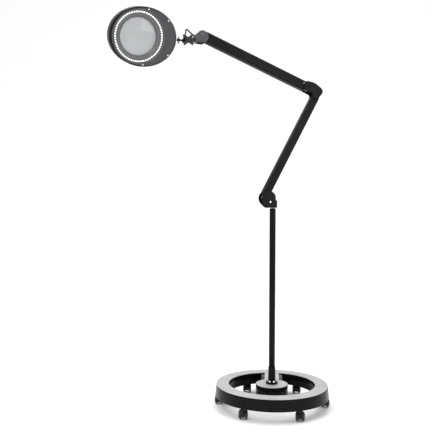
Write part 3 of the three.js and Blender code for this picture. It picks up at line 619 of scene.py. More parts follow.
def make_base():
    low, high = local_box("ring_casting", BASE)
    plate_low, plate_high = local_box("ring_top_plate", BASE)
    foot, top = reach("ring_casting", BASE), reach("ring_top_plate", BASE)
    inner = bore_about_z("ring_top_plate", BASE)
    wall, roof = 5.0, 8.0
    piece("base_ring", [turned_ring([
        (inner, low.z, 0.8), (inner + wall, low.z, 0.8), (inner + wall, high.z - roof, 2),
        (foot - 24, high.z - roof, 2), (foot - 24, low.z, 0.8), (foot, low.z, 1.2),
        (top + 0.8, high.z - 3, 3), (top, high.z, 1.2), (inner, high.z, 0.8),
    ], steps=4)] + [stem_boss(number, low.z, high.z - roof) for number in CASTERS],
        BASE, "base", PAINT, ["ring_casting"])
    piece("base_ring_plate", [turned_ring([
        (inner, plate_low.z, 0.3), (top, plate_low.z, 0.3), (top, plate_high.z, 1.1), (inner, plate_high.z,
                                                                                       1.1),
    ])], BASE, "base", SILVER, ["ring_top_plate"])

    hub_low, hub_high = local_box("hub_and_bridge", BASE)
    hub_plate_low, hub_plate_high = local_box("hub_top_plate", BASE)
    hub, bore = reach("hub_top_plate", BASE) + 0.5, bore_about_z("hub_top_plate", BASE)
    piece("hub_drum", [turned_ring([
        (bore, hub_high.z - 10, 0.4), (hub - 8, hub_high.z - 10, 4), (hub - 8, hub_low.z, 1), (hub,
                                                                                               hub_low.z, 1),
        (hub, hub_high.z, 1.2), (bore, hub_high.z, 0.4),
    ])], BASE, "base", PAINT, ["hub_and_bridge"])
    half = 39.0     # half the width of the bridge
    web_start = math.sqrt(hub ** 2 - half ** 2) - 2
    beam = [(-half, web_start), (half, web_start), (half, hub_high.y - 5.5), (-half, hub_high.y - 5.5)]
    piece("hub_bridge", [plate_z(rounded(beam, 1.5), hub_low.z, hub_high.z, 1.0)],
          BASE, "base", PAINT)
    piece("hub_plate", [turned_ring([
        (bore, hub_plate_low.z, 0.2), (hub - 0.5, hub_plate_low.z, 0.3), (hub - 0.5, hub_plate_high.z, 1.1),
        (bore, hub_plate_high.z, 0.4),
    ])], BASE, "base", SILVER, ["hub_top_plate"])

    strip_low, strip_high = local_box("bridge_strip", BASE)
    near = [Vector((strip_high.x * s, math.sqrt((hub + 0.3) ** 2 - (strip_high.x * s) ** 2)))
            for s in [k / 10 for k in range(-10, 11)]]
    far = [Vector((strip_high.x * s, math.sqrt((inner - 1) ** 2 - (strip_high.x * s) ** 2)))
           for s in [k / 10 for k in range(10, -11, -1)]]
    piece("bridge_plate", [plate_z(near + far, strip_low.z, strip_high.z, 0.5, 2)],
          BASE, "base", SILVER, ["bridge_strip"])


def stem_boss(number, z0, z1):
    """Socket in the ring's channel that a caster's stem turns in."""
    at = joint_at(f"caster_{number}_swivel") / MM
    return moved(lathe(rounded([
        (4.6, z0 + 1.5, 0.3), (7.5, z0 + 1.5, 0.5), (9, z1 + 1, 0), (4.6, z1 + 1, 0)], 0.3), 40,
        loop=True), at.x, at.y)


def make_caster(number):
    swivel = Matrix.Translation(joint_at(f"caster_{number}_swivel"))
    spin = Matrix.Translation(joint_at(f"caster_{number}_spin"))
    trail = (joint_at(f"caster_{number}_spin") - joint_at(f"caster_{number}_swivel")) / MM
    _, wheels_high = local_box(f"caster_{number}_wheels", spin)
    _, hood_high = local_box(f"caster_{number}_hood", swivel)
    wheel, half = wheels_high.z, wheels_high.x
    inset_face, wall, gap = 7.5, 1.4, 0.8
    skirt = trail.z - 5
    body, rolling = f"caster_{number}", f"caster_{number}_wheel_pair"

    # the hood follows the domed wheels: a shell turned about the axle, open below the skirt line
    dome = [(wheel, half - 7), (wheel - 1.2, half - 4), (wheel - 4, half - 1.4), (wheel - 8, half)]
    outer = [(r + gap + wall, a + 0.7) for r, a in dome]
    axle = Matrix.Translation((0, trail.y, trail.z)) @ TO_X
    skin = [(0, -outer[-1][1])] + [(r, -a, 2.2) for r, a in reversed(outer)]
    skin += [(r, a, 2.2) for r, a in outer] + [(0, outer[-1][1])]
    shells = []
    for side in (1, -1):
        cavity = [(0, side * (inset_face - 0.6)), (dome[0][0] + gap, side * (inset_face - 0.6), 0.3)]
        cavity += [(r + gap, side * a, 1.4) for r, a in dome] + [(0, side * (half + 3))]
        shells.append(placed(turned_rod(cavity if side > 0 else cavity[::-1], 0.2, 72), axle))
    below = block((-30, trail.y - 30, -10), (30, trail.y + 30, skirt), 0.1, 0.1)
    shroud = combined([placed(turned_rod(skin, 0.4, 96), axle), *shells, below], "DIFFERENCE")
    web = rounded([*arc((trail.y, trail.z), wheel + 1.4, 0, 180, 30), (trail.y - 9, 8, 2.5), (trail.y + 9,
                                                                                              8, 2.5)], 1)
    thick = inset_face - 0.6
    middle = loft([[(x, p.x, p.y) for p in ring] for ring, x in edge_rings(web, -thick, thick, 0.5, 2)])
    shoulder_z = hood_high.z - 22.2
    stem = turned_rod([(7, shoulder_z - 7), (7, shoulder_z - 1, 0.8), (4, shoulder_z, 0.5), (4,
                                                                                             hood_high.z,
                                                                                             0.8)],
                      count=40)
    piece(f"caster_{number}_shroud", [combined([shroud, middle, stem])],
          swivel, body, HOOD, [f"caster_{number}_hood"])

    tyre = [(2.4, inset_face), (wheel - 1, inset_face, 0.5), (wheel, inset_face + 1, 0.6)]
    tyre += [(r, a, 1.2) for r, a in dome[:3]] + [(dome[3][0], half, 1.0), (6.4, half, 0.4), (6.0,
                                                                                              half - 0.9,
                                                                                              0.3),
             (3.4, half - 0.9, 0.3), (3.0, half - 0.2, 0.3), (0, half - 0.2)]
    parts = []
    for side in (1, -1):
        turn = Matrix.Rotation(math.radians(90 * side), 4, "Y")
        parts.append(placed(turned_rod(tyre, 0.3, 64), turn))
    parts.append(placed(turned_rod([(2.3, -inset_face - 0.2), (2.3, inset_face + 0.2)], 0.2, 24), TO_X))
    piece(f"caster_{number}_wheel_set", parts, spin, rolling, NYLON,
          [f"caster_{number}_wheels"])


# ---------------------------------------------------------------- pole

def make_pole():
    low, high = local_box("pole_tube", BASE)
    pole = reach("pole_tube", BASE)
    socket_low, socket_high = local_box("pole_socket", BASE)
    flange = reach("pole_socket", BASE)
    sleeve, step_up = 13.0, 7.5
    bore = pole + 0.3
    piece("pole_collar", [turned_ring([
        (bore, socket_low.z, 0.2), (flange, socket_low.z, 0.8), (flange, socket_low.z + step_up, 2.4),
        (sleeve, socket_low.z + step_up, 1.6), (sleeve, socket_high.z, 1.6), (bore, socket_high.z, 0.5),
    ], count=96, steps=5)], BASE, "base", PAINT, ["pole_socket"])
    piece("pole", [turned_ring([
        (pole - 1.8, low.z, 0.3), (pole, low.z, 0.4), (pole, high.z, 0.7), (pole - 1.8, high.z, 0.4),
    ], count=96)], BASE, "base", PAINT, ["pole_tube"])
    bush_low, bush_high = local_box("pole_top_bush", BASE)
    spigot = bore_about_z("pole_top_bush", BASE)
    piece("pole_end_bush", [turned_ring([
        (spigot, bush_low.z, 0.3), (pole - 2.1, bush_low.z, 0.6), (pole - 2.1, high.z + 0.3, 0.1),
        (pole, high.z + 0.3, 0.3), (pole, bush_high.z, 0.7), (spigot, bush_high.z, 0.4),
    ], count=72)], BASE, "base", BLACK, ["pole_top_bush"])
    bolt_low, bolt_high = local_box("pole_foot_bolt", BASE)
    head_top, pitch = 69.5, 0.75
    thread = [(4.9 - 0.5 * (k % 2), head_top + pitch * k)
              for k in range(int((bolt_high.z - head_top - 1) / pitch))]
    shank = lathe(thread + [(4.2, bolt_high.z)], 40)
    piece("pole_bolt", [plate_z(hexagon(9, 0.5), bolt_low.z, head_top, 0.8), shank],
          BASE, "base", TURNED, ["pole_foot_bolt"])
    for side in ("left", "right"):
        screw_low, screw_high = local_box(f"socket_screw_{side}", BASE)
        centre = (screw_low + screw_high) / 2
        radius = (screw_high.x - screw_low.x) / 2
        washer = lathe([(radius, 0), (radius, 0.7), (radius * 0.92, 1.0)], 48)
        dome = moved(screw_head(radius * 0.88, screw_high.z - screw_low.z - 1.0, 0.45), z=0.98)
        piece(f"collar_screw_{side}",
              [moved(part, centre.x, centre.y, screw_low.z) for part in (washer, dome)],
              BASE, "base", CHROME, [f"socket_screw_{side}"], sharp=40)


# ---------------------------------------------------------------- shoulder

def make_shoulder():
    low, high = local_box("shoulder_fork", SHOULDER)
    foot, right = low.z, high.x
    radius = 27
    centre = (low.x + radius, high.z - radius)
    lug_top = foot + 25
    cheek = 3.5
    round_side = arc(centre, radius, -14, 232, 56)
    outline = rounded([
        (*round_side[0], 1), *[(*point, 0) for point in round_side[1:-1]], (*round_side[-1], 6),
        (centre[0] - 5, foot + 2.2, 8), (centre[0] + 1, foot, 6), (right, foot, 3.2), (right, lug_top, 1.5),
        (right - 3, lug_top + 3, 1.5),
    ], 0, 6)
    base_block = block((-8, low.y + 2, foot), (right - 1, high.y - 2, foot + 15.5), 1.2, 2)
    screw_low, screw_high = local_box("shoulder_clamp_screw", SHOULDER)
    at = (screw_low + screw_high) / 2
    recess = along_y(turned_ring([(6.2, -0.6), (8.2, -0.6), (8.2, 0.7, 0.3), (6.2, 0.7, 0.3)], 0.1, 64, 3),
                     at.x, low.y, at.z)
    cheeks = [plate_y(outline, low.y, low.y + cheek, 1.3, 4), plate_y(outline, high.y - cheek, high.y, 1.3,
                                                                      4)]
    fork = combined([combined([*cheeks, base_block]), recess], "DIFFERENCE")
    piece("shoulder_housing", [fork], SHOULDER, "shoulder", BLACK, ["shoulder_fork"])

    spigot_low, spigot_high = local_box("swivel_spigot", SHOULDER)
    spigot = reach("swivel_spigot", SHOULDER)
    groove = 716    # height at which its groove starts
    piece("pole_spigot", [turned_rod([
        (spigot - 1.2, spigot_low.z), (spigot, spigot_low.z + 1.4), (spigot, groove), (spigot - 0.7,
                                                                                       groove + 0.6),
        (spigot - 0.7, groove + 2.6), (spigot, groove + 3.2), (spigot, spigot_high.z),
    ], 0.2, 72)], SHOULDER, "shoulder", TURNED, ["swivel_spigot"])

    make_pin("shoulder_axle", "shoulder_pivot_pin", SHOULDER, "shoulder")
    head = (screw_high.x - screw_low.x) / 2
    front = placed(screw_head(head, low.y - screw_low.y - 0.1, 0.5),
                   Matrix.Translation((at.x, low.y - 0.1, at.z)) @ TO_MINUS_Y)
    shank = along_y(turned_rod([(2.4, low.y + 0.2), (2.4, high.y - 0.2)], 0.2, 32), at.x, 0, at.z)
    nut = along_y(plate_z(hexagon(3.6, 0.4), high.y + 0.2, screw_high.y, 0.4), at.x, 0, at.z)
    piece("shoulder_screw", [front, shank, nut], SHOULDER, "shoulder", CHROME,
          ["shoulder_clamp_screw"], sharp=40)


def make_pin(name, node, place, body):
    """Pivot pin with chamfered ends and a shallow centre mark."""
    low, high = local_box(node, place)
    radius = (high.x - low.x) / 2
    at = (low + high) / 2
    length = high.y - low.y
    pin = turned_rod([
        (1.0, 0.5), (1.3, 0), (radius - 0.5, 0), (radius, 0.5), (radius, length - 0.5), (radius - 0.5,
                                                                                         length),
        (1.3, length), (1.0, length - 0.5),
    ], 0.1, 48)
    piece(name, [along_y(pin, at.x, low.y, at.z)],
          place, body, TURNED, [node])


# ---------------------------------------------------------------- arms

def half_shell(width, height, wall, corner, seam, side):
    """Section of one cover half in Y and Z, with a lap along its seam."""
    w, h, inner = width / 2, height / 2, corner - wall
    outline = rounded([(seam, -h, 0.4), (w, -h, corner), (w, h, corner), (seam, h, 0.4),
                       (seam, h - wall, 0.3), (w - wall, h - wall, inner), (w - wall, -h + wall, inner),
                       (seam, -h + wall, 0.3)], 0.3, 8)
    return [Vector((p.x * side, p.y)) for p in outline]


def make_arm(prefix, place, springs):
    body = f"{prefix}_arm"
    wall, corner = 2.0, 8.0
    rear_low, rear_high = local_box(f"{prefix}_arm_cover_rear", place)
    width, height = 2 * rear_high.y, rear_high.z - rear_low.z
    for half, side in (("rear", 1), ("front", -1)):
        section = half_shell(width, height, wall, corner, rear_low.y, side)
        shell = bar_x(section, rear_low.x, rear_high.x, 0.5, 2)
        piece(f"{prefix}_arm_shell_{half}", [shell], place, body, BLACK,
              [f"{prefix}_arm_cover_{half}"])
    make_bar(f"{prefix}_arm_link", f"{prefix}_arm_bar", place, body)
    make_bar(f"{prefix}_level_strap", f"{prefix}_tension_strap", place, f"{prefix}_strap")
    make_spring(f"{prefix}_balance_spring", f"{prefix}_arm_spring", place, body, springs)


def make_bar(name, node, place, body):
    """Flat steel bar with round ends."""
    low, high = local_box(node, place)
    half = (high.z - low.z) / 2
    mid = (high.z + low.z) / 2
    outline = arc((low.x + half, mid), half, 90, 270, 20) + arc((high.x - half, mid), half, -90, 90, 20)
    bar = plate_y(outline, low.y, high.y, 0.35, 2)
    hole = bore_about_y(node, place, low.x + half, mid)
    bores = [along_y(drill(hole, low.y - 1, high.y + 1, 40), x, 0, mid) for x in (low.x + half,
                                                                                  high.x - half)]
    piece(name, [combined([bar, *bores], "DIFFERENCE")], place, body, DRAWN, [node])


def make_spring(name, node, place, body, turns):
    """Close-wound extension spring with a hook at each end."""
    low, high = local_box(node, place)
    wire = 0.7
    radius = (high.y - low.y) / 2 - wire
    mid = (low + high) / 2
    hook = 6.0
    start, end = low.x + hook, high.x - hook
    steps = 14
    rings = []
    total = turns * steps
    for i in range(total + 1):
        angle = 2 * math.pi * i / steps
        x = start + (end - start) * i / total
        centre = Vector((x, mid.y + radius * math.cos(angle), mid.z + radius * math.sin(angle)))
        out = Vector((0, math.cos(angle), math.sin(angle)))
        along = Vector((1, 0, 0))
        rings.append([centre + (out * math.cos(t) + along * math.sin(t)) * wire
                      for t in [2 * math.pi * k / 6 for k in range(6)]])
    hooks = []
    for x, side in ((start, -1), (end, 1)):
        path = [Vector((x + side * (hook - wire) * t, mid.y, mid.z + radius * math.cos(math.pi / 2 * t)))
                for t in [k / 8 for k in range(9)]]
        hooks.append(sweep_round(path, wire))
    piece(name, [loft(rings), *hooks], place, body, WIRE, [node])


def sweep_round(path, radius, count=8):
    """Round wire along a path of points, as one solid."""
    rings = []
    for i, here in enumerate(path):
        ahead = (path[min(i + 1, len(path) - 1)] - path[max(i - 1, 0)]).normalized()
        side = ahead.cross(Vector((0, 1, 0))).normalized()
        over = ahead.cross(side).normalized()
        rings.append([here + (side * math.cos(t) + over * math.sin(t)) * radius
                      for t in [2 * math.pi * k / count for k in range(count)]])
    return loft(rings)


# ---------------------------------------------------------------- elbow and wrist

def make_elbow():
    low, high = local_box("elbow_housing", ELBOW)
    cheek = 3.0
    back = [(-21, 40.5, 8), (-8, 34.5, 10), (12, 21, 10), (18.5, 11, 5), (18, 6, 4)]
    outline = rounded([(-45, 44, 4), *back, (15.5, 0.5, 8), (6, -11, 8), (1, -18, 3), (-9, -19.5, 8), (-20,
                                                                                                       -17,
                                                                                                       3),
                       (-21, -2.5, 3), (-57, 12.5, 3), (-58.5, 17, 3), (-53, 38.5, 4)], 3, 6)
    wall = rounded([*back, (15, 6.4, 1), (15.6, 10.2, 3), (9.9, 18.9, 8), (-9.4, 31.9, 8), (-21.5, 37.7,
                                                                                            1)], 1, 5)
    cheeks = [plate_y(outline, low.y, low.y + cheek, 1.2, 4), plate_y(outline, high.y - cheek, high.y, 1.2,
                                                                      4)]
    shell = combined([*cheeks, plate_y(wall, low.y + 1, high.y - 1, 0.2, 1)])
    piece("elbow_casing", [shell], ELBOW, "elbow", BLACK, ["elbow_housing"])
    make_pin("elbow_lower_axle", "elbow_lower_pin", ELBOW, "elbow")
    make_pin("elbow_upper_axle", "elbow_upper_pin", ELBOW, "elbow")
    cover_low, _ = local_box("upper_arm_cover_front", UPPER)
    side_screw("arm_cover_screw", UPPER, "upper_arm", (cover_low.x + 11, -5.8), cover_low.y, 2.2)


def side_screw(name, place, body, at, face, radius):
    """Small screw head sunk in a -Y face."""
    head = placed(screw_head(radius, 0.55 + radius * 0.12, 0.6, 40),
                  Matrix.Translation((at[0], face + 0.5, at[1])) @ TO_MINUS_Y)
    piece(name, [head], place, body, CHROME, sharp=40)


def make_wrist():
    low, high = local_box("wrist_cap", WRIST)
    main_lobe, nose = ((2, -8), 21), ((-9.5, -11.5), 15.7)
    floor = -27.5   # both lobes are cut off level here
    cheek = 3.0
    knob = (joint_at("head_pitch") - joint_at("wrist_level")) / MM
    knob_x = Vector((knob.x, knob.y, 0)).dot(ARM_X)

    def lobe(centre, radius):
        drop = math.degrees(math.asin(min(0.998, (centre[1] - floor) / radius)))
        around = arc(centre, radius, -drop, 180 + drop, 48)
        return rounded([(*around[0], 3), *[(*point, 0) for point in around[1:-1]], (*around[-1], 3)], 0, 5)

    wall = arc(*nose, 100, 250, 24) + arc(nose[0], nose[1] - cheek, 250, 100, 24)
    tongue = arc((knob_x, knob.z), 7.5, 90, 270, 20) + [Vector((-17, -24.5)), Vector((-23.5, -10))]
    sides = []
    for y0, y1 in ((low.y, low.y + cheek), (high.y - cheek, high.y)):
        sides += [plate_y(lobe(*main_lobe), y0, y1, 1.4, 4), plate_y(lobe(*nose), y0, y1, 1.1, 4)]
    parts = [*sides, plate_y(wall, low.y + 1, high.y - 1, 0.2, 1), plate_y(tongue, -4, 4, 0.6, 2)]
    bore = along_y(drill(STUD_BORE, -30, 30, 40), knob_x, 0, knob.z)
    lead_way = placed(drill(3.3, 0, 20, 32),
                      Matrix.Translation((-11, 0, -10.2)) @ Matrix.Rotation(math.radians(-65), 4, "Y"))
    cap = combined([combined(parts), bore, lead_way], "DIFFERENCE")
    piece("wrist_housing", [cap], WRIST, "wrist", CAP, ["wrist_cap"])
    make_pin("wrist_axle", "wrist_pin", WRIST, "wrist")


def make_lead():
    """Short loop of lead from the wrist cap to the neck, as one fixed shape."""
    route = smooth_path([
        (-17, -7.3), (-24, -4.1), (-33, 1.5), (-42, 8.5), (-50, 14.8), (-54, 13.5), (-55, 7), (-56, -1),
        (-58.5, -9), (-62.5, -15.9)])
    mesh = mesh_of("lead_loop", [tube_along(route, 2.55, 16)])
    mesh.shade_smooth()
    mesh.materials.append(SHEATH)
    item = bpy.data.objects.new("lead_loop", mesh)
    bpy.context.scene.collection.objects.link(item)
    item.matrix_world = WRIST
    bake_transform(item)
    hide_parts("wrist_lead")
    grommet = turned_ring([(2.7, -1.2, 0.2), (3.2, -1.2, 0.2), (3.2, 1.2, 0.2), (4.9, 1.4, 0.5), (4.6, 2.8,
                                                                                                  0.6),
                                                                                                  (3.3,
                                                                                                   4.6,
                                                                                                   0.5),
                                                                                                   (2.7,
                                                                                                    4.6,
                                                                                                    0.2)],
                          0.3, 48)
    direction = Vector((-9, 0, 4.2)).normalized()
    turn = Vector((0, 0, 1)).rotation_difference(direction).to_matrix().to_4x4()
    piece("lead_grommet", [placed(grommet, Matrix.Translation((-21.8, 0, -5.1)) @ turn)],
          WRIST, "wrist", SHEATH)


# ---------------------------------------------------------------- neck and clamp knob

def make_neck():
    low, high = local_box("neck_yoke", NECK)
    ear, slit, nose, half = high.y, 4.4, 4.8, high.z
    eye = arc((0, 0), half, -90, 90, 24) + [Vector((-13, half)), Vector((-13, -half))]
    ears = [plate_y(eye, -ear, -slit, 0.9), plate_y(eye, slit, ear, 0.9)]
    crossbar = block((-15.5, -ear, -half), (-11.5, ear, half), 1.0, 1.2)
    snout = placed(turned_rod([(nose, 14), (nose, -low.x - 1.5), (nose - 1, -low.x)], 0.8, 48),
                   Matrix.Rotation(math.radians(-90), 4, "Y"))
    yoke = combined([*ears, crossbar, snout])
    bores = [placed(drill(STUD_BORE, -30, 30, 40), TO_Y),
             placed(drill(3.4, -30, -11, 40), TO_X)]
    piece("neck_fork", [combined([yoke, *bores], "DIFFERENCE")], NECK, "neck", PAINT,
          ["neck_yoke"])
    stud_low, stud_high = local_box("knob_stud", NECK)
    head = placed(plate_z(hexagon(6.5, 0.5), ear + 0.3, stud_high.y, 0.6), TO_Y)
    thread = [(3.2 - 0.35 * (k % 2),
               stud_low.y + 0.4 + 0.6 * k) for k in range(int((ear - stud_low.y) / 0.6))]
    shank = placed(lathe([(2.5, stud_low.y), *thread, (3.1, ear + 0.5)], 40), TO_Y)
    piece("clamp_bolt", [head, shank], NECK, "neck", CHROME, ["knob_stud"], sharp=40)

    knob_low, knob_high = local_box("clamp_knob", NECK)
    valley, rise, lobes, turn = 10, 14.3, 4, math.radians(6)
    angles = [2 * math.pi * k / 160 for k in range(160)]
    reaches = [valley + rise * abs(math.sin(lobes / 2 * (t - turn))) ** 5 for t in angles]
    star = [Vector((r * math.cos(t), r * math.sin(t))) for r, t in zip(reaches, angles)]
    soft = [sum((star[(i + k) % 160] for k in range(-1, 2)), Vector((0, 0))) / 3 for i in range(160)]
    body = plate_y(soft, knob_low.y + 1.2, knob_high.y, 1.5, 4)
    boss = placed(turned_rod([(9.2, 0), (9.2, 2.0), (6.8, 2.5)], 0.8, 64),
                  Matrix.Translation((0, knob_low.y + 2.6, 0)) @ TO_MINUS_Y)
    bore = placed(drill(3.7, knob_low.y + 3, 10, 40), TO_Y)
    knob = combined([combined([body, boss]), bore], "DIFFERENCE")
    piece("wing_knob", [knob], NECK, "knob", KNOB, ["clamp_knob"])

    rod_low, rod_high = local_box("neck_rod", ROLL)
    eye_x = (joint_at("head_swivel") - joint_at("head_tilt")).dot(ARM_X) / MM
    shaft = placed(turned_rod([(3, eye_x), (3, rod_high.x - 0.5), (2.4, rod_high.x)], 0.2, 48), TO_X)
    barrel = moved(turned_rod([(6, rod_low.z), (6, rod_high.z)], 0.5, 64), eye_x)
    eye_bore = moved(drill(2.3, -10, 10, 40), eye_x)
    rod = combined([combined([shaft, barrel]), eye_bore], "DIFFERENCE")
    piece("swivel_stem", [rod], ROLL, "swivel_rod", DARK_STEEL, ["neck_rod"])


# ---------------------------------------------------------------- head

def face_ring(corners, radius=0.5, count=FINE, steps=3):
    """Ring about the lens axis. corners are (radius, distance along head Y)."""
    part = lathe(rounded(corners, radius, steps), count, loop=True)
    return placed(part, TO_Y)


def oval_stack(rings):
    """Loop of rings given as (outline in X and Z, Y)."""
    return loft([[(p.x, y, p.y) for p in outline] for outline, y in rings], loop=True)


def make_head():
    low, high = local_box("head_casing", HEAD)
    plate_low, _ = local_box("front_plate", HEAD)
    a, b = (high.x - low.x) / 2, (high.z - low.z) / 2
    shift = (high.x + low.x) / 2
    front, rear, rim = plate_low.y, high.y, low.y
    wall, opening = 2.5, 70.0
    centre = (shift, 0)

    def ring(inward, y):
        return oval(a - inward, b - inward, centre=centre), y

    rings = [ring(0.3, rim), ring(0, rim + 0.5), ring(0, rim + 12)]
    corner = 9.0
    for k in range(1, 9):
        t = math.radians(90 * k / 8)
        rings.append(ring(corner * (1 - math.cos(t)), rear - corner * (1 - math.sin(t))))
    rings += [(circle(opening + 4, FINE), rear), (circle(opening + 0.6, FINE), rear),
              (circle(opening, FINE), rear - 0.6), (circle(opening, FINE), rear - wall),
              (circle(opening + 4, FINE), rear - wall)]
    for k in range(7, -1, -1):
        t = math.radians(90 * k / 8)
        rings.append(ring(wall + corner * (1 - math.cos(t)), rear - wall - corner * (1 - math.sin(t))))
    rings.append(ring(wall, rim))
    casing = oval_stack(rings)
    button_low, button_high = local_box("power_button", HEAD)
    button = (button_low + button_high) / 2
    hole = along_y(drill(7.5, 0, 60, 64), button.x, 0, button.z)
    piece("head_shell", [combined([casing, hole], "DIFFERENCE")], HEAD, "head", BLACK,
          ["head_casing"])

    inner = bore_about_y("front_plate", HEAD)
    lean = (shift + 2.2, 0)     # the black rim is widest on the side away from the arm
    trim_a, trim_b = a - 4.4, b - 3.2
    rim_ring = [
        (oval(a - 0.6, b - 0.6, centre=centre), rim - 0.3), (oval(a - 0.6, b - 0.6, centre=centre),
                                                             front + 1.6),
        (oval(a - 1.0, b - 1.0, centre=centre), front + 0.6), (oval(a - 1.8, b - 1.8, centre=centre),
                                                               front + 0.1),
        (oval(trim_a + 0.6, trim_b + 0.6, centre=lean), front), (oval(trim_a, trim_b, centre=lean),
                                                                 front + 0.5),
        (oval(trim_a, trim_b, centre=lean), rim - 0.3),
    ]
    piece("head_rim", [oval_stack(rim_ring)], HEAD, "head", BLACK)
    face = [
        (oval(trim_a - 0.3, trim_b - 0.3, centre=lean), rim - 0.3),
        (oval(trim_a - 0.3, trim_b - 0.3, centre=lean), front + 1.3),
        (oval(trim_a - 0.7, trim_b - 0.7, centre=lean), front + 0.8),
        (oval(trim_a - 1.4, trim_b - 1.4, centre=lean), front + 0.5),
        (circle(inner + 4.6, FINE), front + 0.5), (circle(inner + 1.2, FINE), front + 0.6),
        (circle(inner, FINE), front + 1.2), (circle(inner, FINE), rim - 0.3),
    ]
    piece("head_face", [oval_stack(face)], HEAD, "head", FACE, ["front_plate"])
    make_lighting(front)
    make_lens()
    for number, (x, z) in enumerate(face_screws(a, b, shift), 1):
        side_screw(f"face_screw_{number}", HEAD, "head", (x, z), front, 2.5)
    return button, button_low, button_high, rear


def face_screws(a, b, shift):
    """Four screws near the face's edge, two above and two below."""
    inset_by = 6.5
    angles = (84, 41, -35, -88)
    return [(shift + (a - inset_by) * math.cos(math.radians(t)), (b - inset_by) * math.sin(math.radians(t)))
            for t in angles]


def make_lighting(front):
    low, high = local_box("led_diffuser", HEAD)
    outer, inner = high.x, bore_about_y("led_diffuser", HEAD)
    beads = 60
    mid = (outer + inner) / 2
    half = (outer - inner) / 2
    channel = face_ring([(inner, high.y), (outer, high.y), (outer, low.y + 2), (mid + 2.6, low.y + 2.4),
                         (mid - 2.6, low.y + 2.4), (inner, low.y + 2)], 0.5)
    piece("led_channel", [channel], HEAD, "head", MILKY, ["led_diffuser"])
    dome = turned_rod([(half - 1.3, -2.6), (half - 1.3, -1.4, 0.8), (half - 2.0, -0.5, 1.0), (0.4, 0)],
                      0.2, 20)
    bead_set = []
    for k in range(beads):
        turn = Matrix.Rotation(2 * math.pi * (k + 0.5) / beads, 4, "Y")
        bead_set.append(placed(dome, turn @ Matrix.Translation((mid, low.y, 0)) @ TO_MINUS_Y))
    piece("led_beads", bead_set, HEAD, "head", LIGHT, sharp=60)
    studs = []
    for k in range(2 * beads):
        stud = turned_rod([(1.1, -0.6), (1.1, -0.15), (0.5, 0)], 0.2, 10)
        turn = Matrix.Rotation(2 * math.pi * k / (2 * beads), 4, "Y")
        studs.append(placed(stud,
                            turn @ Matrix.Translation((outer + 4.2 - k % 2 * 1.8, front, 0)) @ TO_MINUS_Y))
    piece("face_studs", studs, HEAD, "head", MILKY)

    board_low, board_high = local_box("led_board", HEAD)
    board_in = bore_about_y("led_board", HEAD)
    board_out = board_high.x
    lamps = []
    for k in range(beads):
        chip = block((mid - 1.3, -1.2, 0), (mid + 1.3, 1.2, 0.5), 0.1, 0.2)
        turn = Matrix.Rotation(2 * math.pi * k / beads, 4, "Z")
        lamps.append(placed(chip, Matrix.Translation((0, board_low.y, 0)) @ TO_MINUS_Y @ turn))
    board = face_ring([(board_in, board_low.y), (board_out, board_low.y), (board_out, board_high.y),
                       (board_in, board_high.y)], 0.2, FINE, 1)
    piece("led_circuit", [board, *lamps], HEAD, "head", BOARD, ["led_board"])


def make_lens():
    low, high = local_box("lens_bezel", HEAD)
    outer = high.x
    clear = bore_about_y("lens_bezel", HEAD)
    lip = low.y
    # stepped bezel: rolled outer lip, sloping reflector band, rounded inner shoulder, then the lens seat
    profile = [
        (clear + 3, high.y, 0.4), (clear + 5.5, high.y, 0.6), (clear + 5.5, lip + 12, 1.2),
        (outer, lip + 4.6, 0.8), (outer, lip + 1.6, 0.9), (outer - 1.4, lip, 0.7), (outer - 2.8, lip + 0.2,
                                                                                    0.7),
        (outer - 3.6, lip + 1.8, 0.5), (outer - 9.4, lip + 3.6, 0.6), (clear, lip + 9.6, 2.4),
        (clear, lip + 15.4, 0.5), (clear + 3, lip + 17, 0.4),
    ]
    piece("lens_surround", [face_ring(profile, 0.5, FINE, 4)], HEAD, "head", BEZEL,
          ["lens_bezel"])

    lens_low, lens_high = local_box("lens", HEAD)
    edge = lens_high.x
    middle = (lens_low.y + lens_high.y) / 2
    seat = 1.5
    bulge = (lens_high.y - lens_low.y) / 2 - seat
    steps = 24
    front = [(edge * k / steps, lens_low.y + bulge * (k / steps) ** 2) for k in range(1, steps)]
    back = [(edge * k / steps, lens_high.y - bulge * (k / steps) ** 2) for k in range(steps - 1, 0, -1)]
    profile = front + [(edge - 0.3, middle - seat), (edge, middle - seat + 0.4), (edge, middle + seat - 0.4),
                       (edge - 0.3, middle + seat)] + back
    piece("magnifying_lens", [placed(lathe(profile, 128), TO_Y)], HEAD, "head", GLASS, ["lens"],
          sharp=50)


def make_rear(button, button_low, button_high, rear):
    driver_low, driver_high = local_box("led_driver", HEAD)
    parts = [block(driver_low, driver_high - Vector((0, 6, 0)), 0.3, 0.5)]
    for k, size in enumerate((7, 5, 6)):
        z = driver_low.z + 9 + 15 * k
        can = turned_rod([(size / 2, driver_high.y - 6.2), (size / 2, driver_high.y)], 0.5, 32)
        parts.append(along_y(can, (driver_low.x + driver_high.x) / 2, 0, z))
    piece("driver_board", parts, HEAD, "head", BOARD, ["led_driver"])

    radius = 7.0
    cap = turned_rod([
        (radius + 2, button_low.y), (radius + 2, button_low.y + 3.5), (radius, button_low.y + 3.6),
        (radius, button_high.y - 0.2, 1.4), (radius - 2.2, button_high.y, 0.8), (radius - 3,
                                                                                 button_high.y - 0.6, 0.8),
        (1, button_high.y - 0.9),
    ], 0.3, 72, 4)
    piece("power_switch_cap", [along_y(cap, button.x, 0, button.z)],
          HEAD, "button", CAP, ["power_button"])
    surround = turned_ring([(radius + 0.9, rear - 0.4, 0.2), (radius + 3.4, rear - 0.4, 0.4),
                            (radius + 3.0, rear + 0.9, 0.5), (radius + 1.1, rear + 0.9, 0.5)], 0.3, 72)
    piece("switch_surround", [along_y(surround, button.x, 0, button.z)],
          HEAD, "head", BLACK)


